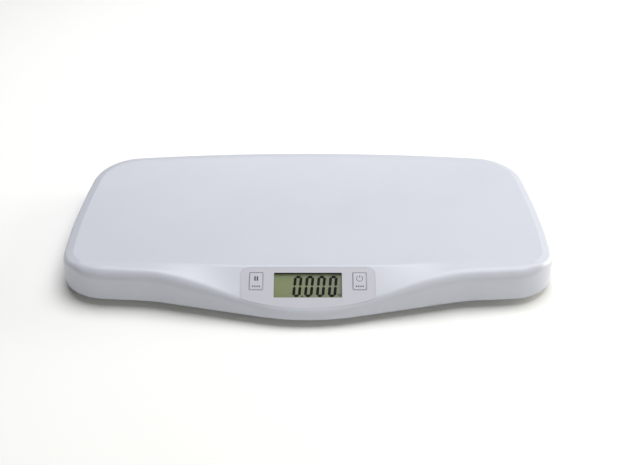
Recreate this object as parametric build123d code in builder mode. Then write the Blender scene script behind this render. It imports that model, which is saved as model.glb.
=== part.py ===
"""Digital baby weighing scale: a one-piece weighing tray on four load-cell feet.

Frame: X across the tray, +Y to the back, +Z up, the floor under the feet is Z = 0.
All sizes are in millimetres.
"""

import os
from math import atan, copysign, cos, hypot, sin, sqrt

from build123d import *

# ---- tray plan ----
back_corner_x, back_corner_y = 263.8, 149.4  # where the back arc meets the side arc
back_apex_y = 165.0
side_mid_x, side_mid_y = 275.0, 10.0
front_corner_x, front_corner_y = 261.5, -122.7
shoulder_x, shoulder_y = 165.9, -130.2  # where the front starts to run out to the nose
nose_vertex_y = -171.0
back_corner_r = 58.0
front_corner_r = 55.0
shoulder_r = 150.0
nose_r = 207.0

# ---- tray section ----
wall = 2.6  # moulded wall thickness
wall_bottom_z = 8.0  # lower edge of the side wall
ridge_z = 44.2  # crest between the lying surface and the apron
ridge_y = -116.0
trough_sag = 12.0  # depth of the lying surface below its edges
wall_draft = 1.7  # degrees
rim_r = 9.0  # rounding along the tray's whole top edge
edge_above = 4.0  # the top edges lie more than this above the wall's lower edge
crest_front, crest_back = 2.0, 4.0  # the crest is blended this far each way at the console
crest_side = 7.0  # and this far at the shoulders
apron_slope = 0.549  # fall of the console, rise over run
shoulder_slope = 0.10  # fall of the apron beside the console
console_half = 62.0  # the console is flat this far from the middle
console_end = 170.0  # and has turned into the shoulders here

# ---- bottom cover ----
cover_inset = 1.0  # how far the cover lies above the wall's lower edge
cover_t = 2.5
cover_gap = 0.5  # gap between cover and tray wall
cover_rib_t, cover_rib_h = 1.6, 3.0
cover_rib_span, cover_rib_y = 150.0, 25.0  # between the long ribs of the cover's frame, and its middle
cover_rib_end = 15.0  # the long ribs run past the outer short ones
lead_lane = 3.0  # between the rib frame and the leads beside it
tray_rib_t = 1.6
tray_rib_foot_z = 25.0
tray_rib_pitch_x, tray_rib_pitch_y = 110.0, 80.0

# ---- screws that hold the cover ----
screw_places = [(140, -98), (-140, -98), (246, 12), (-246, 12), (140, 138), (-140, 138)]
screw_d = 3.0
screw_head_d, screw_head_h, screw_head_chamfer = 6.2, 2.2, 0.5
screw_engage = 8.0  # thread length in the boss
screw_clear = 0.3  # radial room round shank and head in the cover
pad_d, pad_h = 12.0, 3.5  # stepped pad under each boss
boss_d = 9.0
head_sink = 1.2  # depth of the head below the cover's face

# ---- weighing feet ----
foot_places = {"front_left": (-205, -85), "front_right": (205, -85),
               "back_left": (-205, 110), "back_right": (205, 110)}
foot_travel = 0.5
cup_d = 38.6
cup_hole_gap = 0.4
cup_wall = 1.7
cup_floor_t = 1.6
pad_rubber_d, pad_rubber_t, pad_chamfer = 33.0, 3.0, 0.8
cup_chamfer = 1.5
flange_d, flange_t = 43.0, 1.2
seat_gap = 0.3  # a retained part rests this far from what keeps it in
cell_t = 2.0
cell_gap = 0.2
cell_ledge_w = 3.4
cell_ledge_z = 9.0
tongue_w, tongue_slot = 10.0, 1.6
stop_gap = 0.6  # room over the load cell's tongue
stop_d = 8.0
collar_t, collar_h, collar_gap = 1.5, 5.5, 0.4
cap_t = 1.6
cap_rib_t, cap_rib_h = 1.6, 2.4

# ---- console: depths are measured square to the console's face ----
film_t = 0.8  # printed faceplate
film_half_w = 70.5
film_top_w, film_bottom_w = 2.6, 50.4  # distances down the slope from the crest
film_side_w = 39.0
film_top_r, film_bottom_r = 9.0, 6.0
film_gap = 0.15
window_w, window_h = 71.2, 29.2
window_y = 23.2  # middle of the display, down the slope from the crest
lens_t = 1.2
lens_margin, lens_corner_r = 2.4, 2.0
glass_t = 2.8
glass_w, glass_h = 74.0, 33.0
holder_t, holder_corner_r = 3.6, 1.5
stack_gap = 0.1
board_depth = 8.0  # console face to the board's upper side
board_t = 1.6
board_w, board_top_w, board_bottom_w, board_corner_r = 132.0, 2.2, 44.0, 2.0
strip_w, strip_inset = 2.4, 0.5  # the strips stand this far in from the glass's long edges
strip_end = 2.0
post_d = 5.0
post_places = [(61.0, 37.0), (-61.0, 37.0), (44.0, 4.9), (-44.0, 4.9)]
post_screw_d, post_head_d, post_head_h = 2.2, 4.6, 1.6
post_engage, post_spare = 3.6, 0.5  # thread length in the post, and the bore beyond it

# ---- keys ----
key_inset, key_y = 16.3, 18.6
key_x = film_half_w - key_inset
key_w, key_h = 14.5, 20.8
key_corner_r, key_edge_r = 1.6, 0.5
key_gap = 0.3
key_proud = 0.2
key_flange = 1.2
key_flange_t = 0.8
key_travel = 0.4
switch_w, switch_body_t = 6.0, 3.5
plunger_d, plunger_gap = 3.4, 0.3
plunger_len = 1.6
well_spare = 0.3  # room left under a pressed plunger

# ---- battery box ----
cell_aaa_d, cell_aaa_len = 10.5, 44.5
cell_count = 4
cell_pitch = 11.0
cell_shift = 0.5  # the cells lie this far back of the box's middle, clear of the latch
nub_d, nub_h = 3.8, 1.0
box_x = 27.5  # half the inside length
box_y0, box_y1 = -72.0, -19.6
box_wall = 1.8
box_roof_t = 1.6
cell_clear = 0.35
door_t = 2.0
door_edge_y = -24.0  # hinge edge of the door
door_front_y = -74.0
door_half_w = 30.0
door_gap = 0.4
door_recess = 2.4
ledge_t = 1.6
tongue_len, tongue_t, door_tongue_w = 3.2, 1.2, 9.0
tongue_x = 17.0
tongue_lift = 0.6
latch_w, latch_t, latch_h = 12.0, 1.4, 4.6
grip_w, grip_d, grip_groove, grip_pitch, grip_inset = 16.0, 0.8, 1.2, 2.4, 4.0
tongue_root, tongue_gap = 2.4, 0.2
latch_gap = 0.3
contact_t = 0.5
leaf_w, leaf_t = 6.0, 0.4
leaf_gap = 0.05
leaf_nose, leaf_margin = 1.0, 1.2  # half height of a leaf's flat nose, and its ends' distance from the cell's rim
contact_margin = 1.0

# ---- unit button on the underside ----
unit_x, unit_y = -78.0, 62.0
unit_d, unit_gap = 8.2, 0.4
unit_sink, unit_chamfer = 0.4, 0.4
unit_flange_d, unit_flange_t = 10.8, 1.0
unit_board_w, unit_board_h = 18.0, 26.0
unit_post_d = 4.0
unit_tip = 1.0  # how far the button's tip stands in its switch
unit_room = 0.4  # between the pressed button's flange and the switch

# ---- leads and parts on the main board ----
lead_d, lead_bend = 1.4, 2.5  # outside diameter, bend radius
lead_lift = 0.1  # leads lie this far over what carries them
lead_side = 8.0  # a cell's lead leaves its collar this far behind the foot's middle
lead_notch_w = 2.4
lead_in, lead_over, lead_out = 11.0, 14.5, 24.5  # from the foot's middle: inner end, over the cup, past the collar
front_run_x, front_run_y = 168.0, -86.0  # the front leads turn along the front here
back_run_y = -70.0  # and the back leads here
cover_rib_len = 2 * (front_run_x - lead_lane)
front_lead_x, back_lead_x, battery_lead_x = 52.0, 40.0, 8.0  # where the leads meet the board
unit_lead_x, unit_lead_end_x = -36.0, -28.0
unit_lead_start, unit_lead_foot = (5.0, -12.0), (18.0, -18.0)  # from the button: on its board, down on the cover
unit_lead_over = 12.0  # past the board's edge
unit_turn_y, unit_run_y = 20.0, -80.0
hump_top, hump_foot = 4.0, 9.0  # half lengths of the lead's hump over a rib
lead_fall = 6.0  # length of the drop outside a collar
battery_lead_reach = 8.0  # each way from the box's front wall
chip_edge_r = 0.55
lead_end_w = 9.8  # down the slope from the crest
lead_end_gap = 0.5
buzzer_d, buzzer_h, buzzer_place = 9.0, 4.2, (22.0, -30.0)
chip_d, chip_h, chip_place = 12.0, 1.4, (-14.0, -26.0)

# where the loft's profiles start and end
profile_spare, trough_spare = 45.0, 25.0  # past the tray's sides and back
apron_reach, apron_point_in = 84.0, 11.0  # start before the crest, and a point inside the nose
tray_rib_end_x, tray_rib_end_y = 41.25, 28.1  # from the tray's widest line and the trough's edge to a rib's end
cut_through = 6.0

# ---- worked out from the sizes above ----
trough_half = (back_apex_y - ridge_y) / 2
trough_mid_y = (back_apex_y + ridge_y) / 2
trough_r = (trough_half**2 + trough_sag**2) / (2 * trough_sag)
trough_axis_z = ridge_z - trough_sag + trough_r
cover_z = wall_bottom_z + cover_inset
cover_top_z = cover_z + cover_t
pad_top_z = cover_top_z + pad_h
reach = side_mid_x + profile_spare
apron_start_y = ridge_y - apron_reach
apron_run = ridge_y - nose_vertex_y - apron_point_in
trough_end_y = back_apex_y + trough_spare

os.makedirs("parts", exist_ok=True)


def plan_outline(inset, height):
    """The tray's plan shape on a level plane, set in by inset."""
    with BuildSketch(Plane.XY.offset(height)) as plan:
        with BuildLine():
            ThreePointArc((back_corner_x, back_corner_y), (0, back_apex_y), (-back_corner_x, back_corner_y))
            ThreePointArc((-back_corner_x, back_corner_y), (-side_mid_x, side_mid_y),
                          (-front_corner_x, front_corner_y))
            Polyline((-front_corner_x, front_corner_y), (-shoulder_x, shoulder_y), (0, nose_vertex_y),
                     (shoulder_x, shoulder_y), (front_corner_x, front_corner_y))
            ThreePointArc((front_corner_x, front_corner_y), (side_mid_x, side_mid_y),
                          (back_corner_x, back_corner_y))
        make_face()
        roundings = [(back_corner_x, back_corner_y, back_corner_r),
                     (front_corner_x, front_corner_y, front_corner_r),
                     (shoulder_x, shoulder_y, shoulder_r), (0, nose_vertex_y, nose_r)]
        for x, y, radius in roundings:
            corners = plan.vertices().filter_by(lambda v: abs(abs(v.X) - x) < 0.1 and abs(v.Y - y) < 0.1)
            fillet(corners, radius)
        if inset:
            offset(amount=-inset, kind=Kind.ARC)
            split(bisect_by=Plane.YZ)
            mirror(about=Plane.YZ)
    return plan.sketch


def trough_z(y, inset):
    """Height of the lying surface, or of the surface inset below it."""
    return trough_axis_z - sqrt((trough_r + inset) ** 2 - (y - trough_mid_y) ** 2)


def top_profile(x, inset):
    """Points across the tray's top at x, front to back: apron, blended crest, lying surface."""
    t = min(1.0, max(0.0, (abs(x) - console_half) / (console_end - console_half)))
    ease = t * t * (3 - 2 * t)
    fall = apron_slope + (shoulder_slope - apron_slope) * ease
    front_half = crest_front + (crest_side - crest_front) * t
    back_half = crest_back + (crest_side - crest_back) * t
    drop = inset * hypot(1, fall)
    apron_ys = [apron_start_y, ridge_y - apron_run, ridge_y - 6 * front_half, ridge_y - 2.5 * front_half,
                ridge_y - front_half]
    trough_ys = [ridge_y + back_half, ridge_y + 2.5 * back_half, ridge_y + 6 * back_half,
                 trough_mid_y - trough_half / 3, trough_mid_y, trough_mid_y + trough_half / 2.4, trough_end_y]
    apron = [(y, ridge_z - drop + (y - ridge_y) * fall) for y in apron_ys]
    return apron + [(y, trough_z(y, inset)) for y in trough_ys]


def upper_edges(block):
    """Edges between the side walls and the top of a block."""
    walls = block.faces().filter_by(lambda f: abs(f.normal_at().Z) < 0.2)
    edges = ShapeList()
    for face in walls:
        edges += face.edges().filter_by(
            lambda e: e.geom_type != GeomType.LINE and e.center().Z > wall_bottom_z + edge_above)
    return edges


def moulded_form(inset, base_z):
    """The tray as a solid block, set in by inset: profiles lofted along X shape its whole top."""
    step = (console_end - console_half) / 6
    eased = [console_half + step * k for k in range(7)]
    stations = [console_half * 0.4, console_half * 0.8, *eased, console_end + 30, console_end + 70, reach]
    with BuildPart() as form:
        extrude(plan_outline(inset, base_z), amount=1.4 * ridge_z, taper=wall_draft)
        with BuildPart(mode=Mode.SUBTRACT):
            for x in [-s for s in reversed(stations)] + [0.0] + stations:
                profile = top_profile(x, inset)
                with BuildSketch(Plane.YZ.offset(x)):
                    with BuildLine():
                        Spline(profile)
                        Polyline(profile[-1], (trough_end_y, 3 * ridge_z),
                                 (apron_start_y, 3 * ridge_z), profile[0])
                    make_face()
            loft()
        fillet(upper_edges(form), rim_r - inset)
    return form.part


# The console's own plane: origin at the middle of the crest, x along it, y up the slope, z out.
console_tilt = atan(apron_slope)
console = Plane(origin=(0, ridge_y, ridge_z), x_dir=(1, 0, 0), z_dir=(0, -sin(console_tilt), cos(console_tilt)))


def export(name, node):
    """Label one finished piece and write it to its own file."""
    node.label = name
    export_step(node, f"parts/{name}.step")


# ---- tray shell ----
def film_outline(grow, depth):
    """Outline of the printed faceplate, on the console at the given depth."""
    with BuildSketch(console.offset(-depth)) as outline:
        with BuildLine():
            Polyline((film_half_w, -film_side_w), (film_half_w, -film_top_w), (-film_half_w, -film_top_w),
                     (-film_half_w, -film_side_w))
            ThreePointArc((-film_half_w, -film_side_w), (0, -film_bottom_w), (film_half_w, -film_side_w))
        make_face()
        fillet(outline.vertices().sort_by(Axis.Y)[-2:], film_top_r)
        fillet(outline.vertices().sort_by(Axis.Y)[:2], film_bottom_r)
        if grow:
            offset(amount=grow, kind=Kind.ARC)
    return outline.sketch


key_places = {"hold": (-key_x, -key_y), "tare": (key_x, -key_y)}
window_place = (0, -window_y)
door_axis_z = cover_z + door_gap / 2 + door_t

with BuildPart() as hollow:
    add(moulded_form(wall, wall_bottom_z - 1))
    with BuildSketch(Plane.XY.offset(pad_top_z)):
        with Locations(*screw_places):
            Circle(boss_d / 2)
    extrude(amount=ridge_z, mode=Mode.SUBTRACT)
    with BuildSketch(console.offset(-board_depth)):
        with Locations(*[(x, -w) for x, w in post_places]):
            Circle(post_d / 2)
    extrude(amount=board_depth, mode=Mode.SUBTRACT)
    with BuildSketch(Plane.XY.offset(tray_rib_foot_z)):
        with Locations((0, trough_mid_y)):
            with GridLocations(tray_rib_pitch_x, 0, 5, 1):
                Rectangle(tray_rib_t, 2 * (trough_half - tray_rib_end_y))
            with GridLocations(0, tray_rib_pitch_y, 1, 3):
                Rectangle(2 * (side_mid_x - tray_rib_end_x), tray_rib_t)
    extrude(amount=ridge_z, mode=Mode.SUBTRACT)

with BuildPart() as tray_shell:
    add(moulded_form(0, wall_bottom_z))
    add(hollow.part, mode=Mode.SUBTRACT)
    extrude(film_outline(film_gap, film_t), amount=cut_through, mode=Mode.SUBTRACT)
    with BuildSketch(console.offset(-film_t - lens_t)):
        with Locations(window_place):
            RectangleRounded(window_w + 2 * (lens_margin + film_gap), window_h + 2 * (lens_margin + film_gap),
                             lens_corner_r)
    extrude(amount=lens_t, mode=Mode.SUBTRACT)
    with BuildSketch(console):
        with Locations(window_place):
            Rectangle(window_w, window_h)
        with Locations(*key_places.values()):
            RectangleRounded(key_w + 2 * key_gap, key_h + 2 * key_gap, key_corner_r + key_gap)
    extrude(amount=-wall - 1, mode=Mode.SUBTRACT)
    with BuildSketch(Plane.XY.offset(pad_top_z)):
        with Locations(*screw_places):
            Circle(screw_d / 2)
    extrude(amount=screw_engage + 1, mode=Mode.SUBTRACT)
    with BuildSketch(console.offset(-board_depth)):
        with Locations(*[(x, -w) for x, w in post_places]):
            Circle(post_screw_d / 2)
    extrude(amount=post_engage + post_spare, mode=Mode.SUBTRACT)
export("tray_shell", tray_shell.part)

# ---- console stack ----
with BuildPart() as faceplate:
    extrude(film_outline(0, film_t), amount=film_t)
    with BuildSketch(console):
        with Locations(window_place):
            Rectangle(window_w, window_h)
        with Locations(*key_places.values()):
            RectangleRounded(key_w + 2 * key_gap, key_h + 2 * key_gap, key_corner_r + key_gap)
    extrude(amount=-film_t, mode=Mode.SUBTRACT)
export("faceplate", faceplate.part)

with BuildPart() as display_lens:
    with BuildSketch(console.offset(-film_t - lens_t)):
        with Locations(window_place):
            RectangleRounded(window_w + 2 * lens_margin, window_h + 2 * lens_margin, lens_corner_r)
    extrude(amount=lens_t)
export("display_lens", display_lens.part)

glass_depth = wall + stack_gap
with BuildPart() as lcd_glass:
    with BuildSketch(console.offset(-glass_depth - glass_t)):
        with Locations(window_place):
            Rectangle(glass_w, glass_h)
    extrude(amount=glass_t)
export("lcd_glass", lcd_glass.part)

with BuildPart() as lcd_holder:
    with BuildSketch(console.offset(-board_depth)):
        with Locations(window_place):
            RectangleRounded(glass_w + 2 * holder_t, glass_h + 2 * holder_t, holder_corner_r)
            Rectangle(glass_w + 2 * stack_gap, glass_h + 2 * stack_gap, mode=Mode.SUBTRACT)
    extrude(amount=board_depth - glass_depth)
export("lcd_holder", lcd_holder.part)

with BuildPart() as contact_strips:
    with BuildSketch(console.offset(-board_depth)):
        with Locations(window_place):
            with GridLocations(0, glass_h - strip_w - 2 * strip_inset, 1, 2):
                Rectangle(glass_w - 2 * strip_end, strip_w)
    extrude(amount=board_depth - glass_depth - glass_t)
export("contact_strips", contact_strips.part)

with BuildPart() as main_board:
    with BuildSketch(console.offset(-board_depth - board_t)):
        with Locations((0, -(board_top_w + board_bottom_w) / 2)):
            RectangleRounded(board_w, board_bottom_w - board_top_w, board_corner_r)
        with Locations(*[(x, -w) for x, w in post_places]):
            Circle(post_screw_d / 2 + screw_clear, mode=Mode.SUBTRACT)
    extrude(amount=board_t)
export("main_board", main_board.part)

with BuildPart() as board_screws:
    with BuildSketch(console.offset(-board_depth - board_t)):
        with Locations(*[(x, -w) for x, w in post_places]):
            Circle(post_head_d / 2)
    extrude(amount=-post_head_h)
    with BuildSketch(console.offset(-board_depth - board_t)):
        with Locations(*[(x, -w) for x, w in post_places]):
            Circle(post_screw_d / 2)
    extrude(amount=board_t + post_engage)
export("board_screws", board_screws.part)

# ---- keys and their switches ----
key_flange_depth = wall + key_gap
switch_depth = board_depth - switch_body_t
plunger_top = key_flange_depth + key_flange_t
for name, (x, y) in key_places.items():
    with BuildPart() as key:
        with BuildSketch(console.offset(-key_flange_depth)):
            with Locations((x, y)):
                RectangleRounded(key_w, key_h, key_corner_r)
        extrude(amount=key_flange_depth + key_proud)
        fillet(key.faces().filter_by(lambda f: (f.normal_at() - console.z_dir).length < 0.01).edges(), key_edge_r)
        with BuildSketch(console.offset(-key_flange_depth)):
            with Locations((x, y)):
                Rectangle(key_w + 2 * key_flange, key_h + 2 * key_flange)
        extrude(amount=-key_flange_t)
    export(f"{name}_key", key.part)

    with BuildPart() as plunger:
        with BuildSketch(console.offset(-plunger_top)):
            with Locations((x, y)):
                Circle(plunger_d / 2)
        extrude(amount=-plunger_len)
    export(f"{name}_plunger", plunger.part)

    with BuildPart() as switch:
        with BuildSketch(console.offset(-board_depth)):
            with Locations((x, y)):
                Rectangle(switch_w, switch_w)
        extrude(amount=switch_body_t)
        with BuildSketch(console.offset(-switch_depth)):
            with Locations((x, y)):
                Circle(plunger_d / 2 + plunger_gap)
        extrude(amount=-(plunger_len + key_travel), mode=Mode.SUBTRACT)
    export(f"{name}_switch", switch.part)

# ---- bottom cover with battery box ----
cell_z = door_axis_z + cell_clear + cell_aaa_d / 2
box_roof_z = cell_z + cell_aaa_d / 2 + cell_clear
cells_y = (box_y0 + door_edge_y) / 2 + cell_shift
cell_ys = [cells_y + cell_pitch * (k - (cell_count - 1) / 2) for k in range(cell_count)]
collar_r = flange_d / 2 + collar_gap
box_mid_y = (box_y0 + box_y1) / 2
lead_low_z = cover_top_z + lead_lift + lead_d / 2
lead_over_z = cover_top_z + seat_gap + flange_t + foot_travel + lead_d  # half a lead clear of the raised flange
unit_switch_z = cover_top_z + seat_gap + unit_flange_t + key_travel + unit_room
unit_board_z = unit_switch_z + switch_body_t

with BuildPart() as bottom_cover:
    extrude(plan_outline(wall + cover_gap, cover_z), amount=cover_t)
    with BuildSketch(Plane.XY.offset(cover_top_z)):
        with Locations(*screw_places):
            Circle(pad_d / 2)
    extrude(amount=pad_h)
    with BuildSketch(Plane.XY.offset(cover_top_z)):
        with Locations(*foot_places.values()):
            Circle(collar_r + collar_t)
    extrude(amount=collar_h)
    with BuildSketch(Plane.XY.offset(cover_top_z)):
        with Locations((0, cover_rib_y)):
            with GridLocations(0, cover_rib_span, 1, 2):
                Rectangle(cover_rib_len, cover_rib_t)
            with GridLocations(cover_rib_len / 2 - cover_rib_end, 0, 3, 1):
                Rectangle(cover_rib_t, cover_rib_span)
    extrude(amount=cover_rib_h)
    with BuildSketch(Plane.XY.offset(cover_top_z)):
        with Locations((unit_x, unit_y)):
            with GridLocations(0, unit_board_h - unit_post_d, 1, 2):
                Circle(unit_post_d / 2)
    extrude(amount=unit_board_z - cover_top_z)
    with BuildSketch(Plane.XY.offset(cover_z)):
        with Locations((0, (door_front_y + door_edge_y) / 2 - 1)):
            Rectangle(2 * (door_half_w + door_gap + box_wall), door_edge_y - door_front_y)
    extrude(amount=door_recess + ledge_t)
    with BuildSketch(Plane.XY.offset(cover_z)):
        with Locations((0, box_mid_y)):
            Rectangle(2 * (box_x + box_wall), box_y1 - box_y0 + 2 * box_wall)
    extrude(amount=box_roof_z + box_roof_t - cover_z)
    with BuildSketch(Plane.XY.offset(cover_top_z)):
        with Locations((0, box_mid_y)):
            Rectangle(2 * box_x, box_y1 - box_y0)
    extrude(amount=box_roof_z - cover_top_z, mode=Mode.SUBTRACT)
    with BuildSketch(Plane.XY.offset(cover_z)):
        with Locations((0, (box_y0 + door_edge_y + door_gap) / 2)):
            Rectangle(2 * box_x, door_edge_y + door_gap - box_y0)
    extrude(amount=cover_t, mode=Mode.SUBTRACT)
    with BuildSketch(Plane.XY.offset(cover_z)):
        with Locations((0, (door_front_y + door_edge_y) / 2)):
            Rectangle(2 * (door_half_w + door_gap), door_edge_y - door_front_y + 2 * door_gap)
    extrude(amount=door_recess, mode=Mode.SUBTRACT)
    with BuildSketch(Plane.XY.offset(cover_z)):
        with Locations(*screw_places):
            Circle(screw_d / 2 + screw_clear)
    extrude(amount=cover_t + pad_h, mode=Mode.SUBTRACT)
    with BuildSketch(Plane.XY.offset(cover_z)):
        with Locations(*screw_places):
            Circle(screw_head_d / 2 + screw_clear)
    extrude(amount=head_sink + screw_head_h, mode=Mode.SUBTRACT)
    with BuildSketch(Plane.XY.offset(cover_z)):
        with Locations(*foot_places.values()):
            Circle(cup_d / 2 + cup_hole_gap)
        with Locations((unit_x, unit_y)):
            Circle(unit_d / 2 + unit_gap)
    extrude(amount=cover_t, mode=Mode.SUBTRACT)
    with BuildSketch(Plane.XY.offset(cover_top_z)):
        with Locations(*foot_places.values()):
            Circle(collar_r)
    extrude(amount=collar_h, mode=Mode.SUBTRACT)
    with BuildSketch(Plane.XY.offset(lead_over_z - lead_notch_w / 2)):
        for x, y in foot_places.values():
            with Locations((x - copysign(collar_r, x), y + lead_side)):
                Rectangle(4 * collar_t, lead_notch_w)
    extrude(amount=collar_h, mode=Mode.SUBTRACT)
export("bottom_cover", bottom_cover.part)

with BuildPart() as cover_screws:
    with BuildSketch(Plane.XY.offset(cover_z + head_sink)):
        with Locations(*screw_places):
            Circle(screw_head_d / 2)
    extrude(amount=screw_head_h)
    chamfer(cover_screws.faces().sort_by(Axis.Z)[: len(screw_places)].edges(), screw_head_chamfer)
    with BuildSketch(Plane.XY.offset(cover_z + head_sink + screw_head_h)):
        with Locations(*screw_places):
            Circle(screw_d / 2)
    extrude(amount=pad_top_z + screw_engage - cover_z - head_sink - screw_head_h)
export("cover_screws", cover_screws.part)

# ---- weighing feet ----
flange_z = cover_top_z + seat_gap
cup_top_z = flange_z + flange_t
cell_top_z = cell_ledge_z + cell_t
collar_top_z = cover_top_z + collar_h
for name, (x, y) in foot_places.items():
    axis_plane = Plane(origin=(x, y, 0), x_dir=(1, 0, 0), z_dir=(0, -1, 0))
    with BuildPart() as foot_pad:
        with BuildSketch(Plane.XY):
            with Locations((x, y)):
                Circle(pad_rubber_d / 2)
        extrude(amount=pad_rubber_t)
        chamfer(foot_pad.faces().sort_by(Axis.Z)[0].edges(), pad_chamfer)
    export(f"foot_pad_{name}", foot_pad.part)

    with BuildPart() as foot_cup:
        with BuildSketch(axis_plane):
            with BuildLine():
                Polyline((0, pad_rubber_t), (cup_d / 2 - cup_chamfer, pad_rubber_t),
                         (cup_d / 2, pad_rubber_t + cup_chamfer),
                         (cup_d / 2, flange_z), (flange_d / 2, flange_z), (flange_d / 2, cup_top_z),
                         (cup_d / 2 - cup_wall, cup_top_z), (cup_d / 2 - cup_wall, cell_ledge_z),
                         (cup_d / 2 - cup_wall - cell_ledge_w, cell_ledge_z),
                         (cup_d / 2 - cup_wall - cell_ledge_w, pad_rubber_t + cup_floor_t),
                         (0, pad_rubber_t + cup_floor_t), close=True)
            make_face()
        revolve(axis=Axis((x, y, 0), (0, 0, 1)))
    export(f"foot_cup_{name}", foot_cup.part)

    cell_r = cup_d / 2 - cup_wall - cell_gap
    with BuildPart() as load_cell:
        with BuildSketch(Plane.XY.offset(cell_ledge_z)):
            with Locations((x, y)):
                Circle(cell_r)
                Rectangle(tongue_w + 2 * tongue_slot, cell_r, mode=Mode.SUBTRACT)
            with Locations((x, y - tongue_slot / 2)):
                Rectangle(tongue_w, cell_r - tongue_slot)
        extrude(amount=cell_t)
    export(f"load_cell_{name}", load_cell.part)

    with BuildPart() as load_cell_cap:
        with BuildSketch(Plane.XY.offset(collar_top_z)):
            with Locations((x, y)):
                Circle(collar_r + collar_t)
        extrude(amount=cap_t)
        with BuildSketch(Plane.XY.offset(cell_top_z + stop_gap)):
            with Locations((x, y)):
                Circle(stop_d / 2)
        extrude(amount=collar_top_z - cell_top_z - stop_gap)
        with BuildSketch(Plane.XY.offset(collar_top_z - cap_rib_h)):
            with Locations((x, y)):
                Rectangle(2 * collar_r - 2, cap_rib_t)
                Rectangle(cap_rib_t, 2 * collar_r - 2)
        extrude(amount=cap_rib_h)
    export(f"load_cell_cap_{name}", load_cell_cap.part)

# ---- battery door, cells and contacts ----
door_bottom_z = door_axis_z - door_t
with BuildPart() as battery_door:
    with BuildSketch(Plane.YZ.offset(-door_half_w)):
        with BuildLine():
            Polyline((door_front_y, door_bottom_z), (door_edge_y - door_t, door_bottom_z),
                     (door_edge_y, door_axis_z), (door_front_y, door_axis_z), close=True)
        make_face()
    extrude(amount=2 * door_half_w)
    for side in (-1, 1):
        with BuildSketch(Plane.YZ.offset(side * tongue_x - door_tongue_w / 2)):
            with BuildLine():
                Polyline((door_edge_y - tongue_root, door_axis_z), (door_edge_y - tongue_gap, door_axis_z),
                         (door_edge_y - tongue_gap, door_axis_z + tongue_lift),
                         (door_edge_y + tongue_len, door_axis_z + tongue_lift),
                         (door_edge_y + tongue_len, door_axis_z + tongue_lift + tongue_t),
                         (door_edge_y - tongue_root, door_axis_z + tongue_lift + tongue_t), close=True)
            make_face()
        extrude(amount=door_tongue_w)
    with BuildSketch(Plane.XY.offset(door_axis_z)):
        with Locations((0, box_y0 + door_gap + latch_gap + latch_t / 2)):
            Rectangle(latch_w, latch_t)
    extrude(amount=latch_h)
    with BuildSketch(Plane.XY.offset(door_bottom_z)):
        with Locations((0, door_front_y + grip_inset)):
            with GridLocations(0, grip_pitch, 1, 3):
                Rectangle(grip_w, grip_groove)
    extrude(amount=grip_d, mode=Mode.SUBTRACT)
export("battery_door", battery_door.part)

for number, y in enumerate(cell_ys, start=1):
    end = 1 if number % 2 else -1  # the cells lie head to tail
    with BuildPart() as battery:
        with BuildSketch(Plane.YZ.offset(-cell_aaa_len / 2 + (0 if end > 0 else nub_h))):
            with Locations((y, cell_z)):
                Circle(cell_aaa_d / 2)
        extrude(amount=cell_aaa_len - nub_h)
        with BuildSketch(Plane.YZ.offset(end * (cell_aaa_len / 2 - nub_h))):
            with Locations((y, cell_z)):
                Circle(nub_d / 2)
        extrude(amount=end * nub_h)
    export(f"battery_{number}", battery.part)

with BuildPart() as battery_contacts:
    for side in (-1, 1):
        groups = [(0, 1), (2, 3)] if side > 0 else [(0,), (1, 2), (3,)]
        for group in groups:
            y0 = cell_ys[group[0]] - leaf_w / 2 - contact_margin
            y1 = cell_ys[group[-1]] + leaf_w / 2 + contact_margin
            with BuildSketch(Plane.YZ.offset(side * box_x)):
                with Locations(((y0 + y1) / 2, cell_z)):
                    Rectangle(y1 - y0, cell_aaa_d - 2 * contact_margin)
            extrude(amount=-side * contact_t)
            for k in group:
                tip = cell_aaa_len / 2 + leaf_gap
                root = box_x - contact_t
                half = cell_aaa_d / 2 - leaf_margin
                inner_nose = leaf_nose - 0.75 * leaf_t
                with BuildSketch(Plane.XZ.offset(-(cell_ys[k] + leaf_w / 2))):
                    with BuildLine():
                        Polyline((side * root, cell_z - half), (side * tip, cell_z - leaf_nose),
                                 (side * tip, cell_z + leaf_nose),
                                 (side * root, cell_z + half), (side * root, cell_z + half - 2 * leaf_t),
                                 
                                 (side * (tip + leaf_t), cell_z + inner_nose),
                                 (side * (tip + leaf_t), cell_z - inner_nose),
                                 (side * root, cell_z - half + 2 * leaf_t), close=True)
                    make_face()
                extrude(amount=leaf_w)
export("battery_contacts", battery_contacts.part)

# ---- unit button on the underside ----
with BuildPart() as unit_button:
    button_axis = Plane(origin=(unit_x, unit_y, 0), x_dir=(1, 0, 0), z_dir=(0, -1, 0))
    with BuildSketch(button_axis):
        with BuildLine():
            face_z = cover_z + unit_sink
            flange_top = cover_top_z + seat_gap + unit_flange_t
            plunger_tip = unit_switch_z + unit_tip
            Polyline((0, face_z), (unit_d / 2 - unit_chamfer, face_z), (unit_d / 2, face_z + unit_chamfer),
                     (unit_d / 2, cover_top_z + seat_gap), (unit_flange_d / 2, cover_top_z + seat_gap),
                     (unit_flange_d / 2, flange_top), (plunger_d / 2, flange_top), (plunger_d / 2, plunger_tip),
                     (0, plunger_tip), close=True)
        make_face()
    revolve(axis=Axis((unit_x, unit_y, 0), (0, 0, 1)))
export("unit_button", unit_button.part)

with BuildPart() as unit_switch:
    with BuildSketch(Plane.XY.offset(unit_switch_z)):
        with Locations((unit_x, unit_y)):
            Rectangle(switch_w, switch_w)
    extrude(amount=switch_body_t)
    with BuildSketch(Plane.XY.offset(unit_switch_z)):
        with Locations((unit_x, unit_y)):
            Circle(plunger_d / 2 + plunger_gap)
    extrude(amount=unit_tip + key_travel + well_spare, mode=Mode.SUBTRACT)
export("unit_switch", unit_switch.part)

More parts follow.
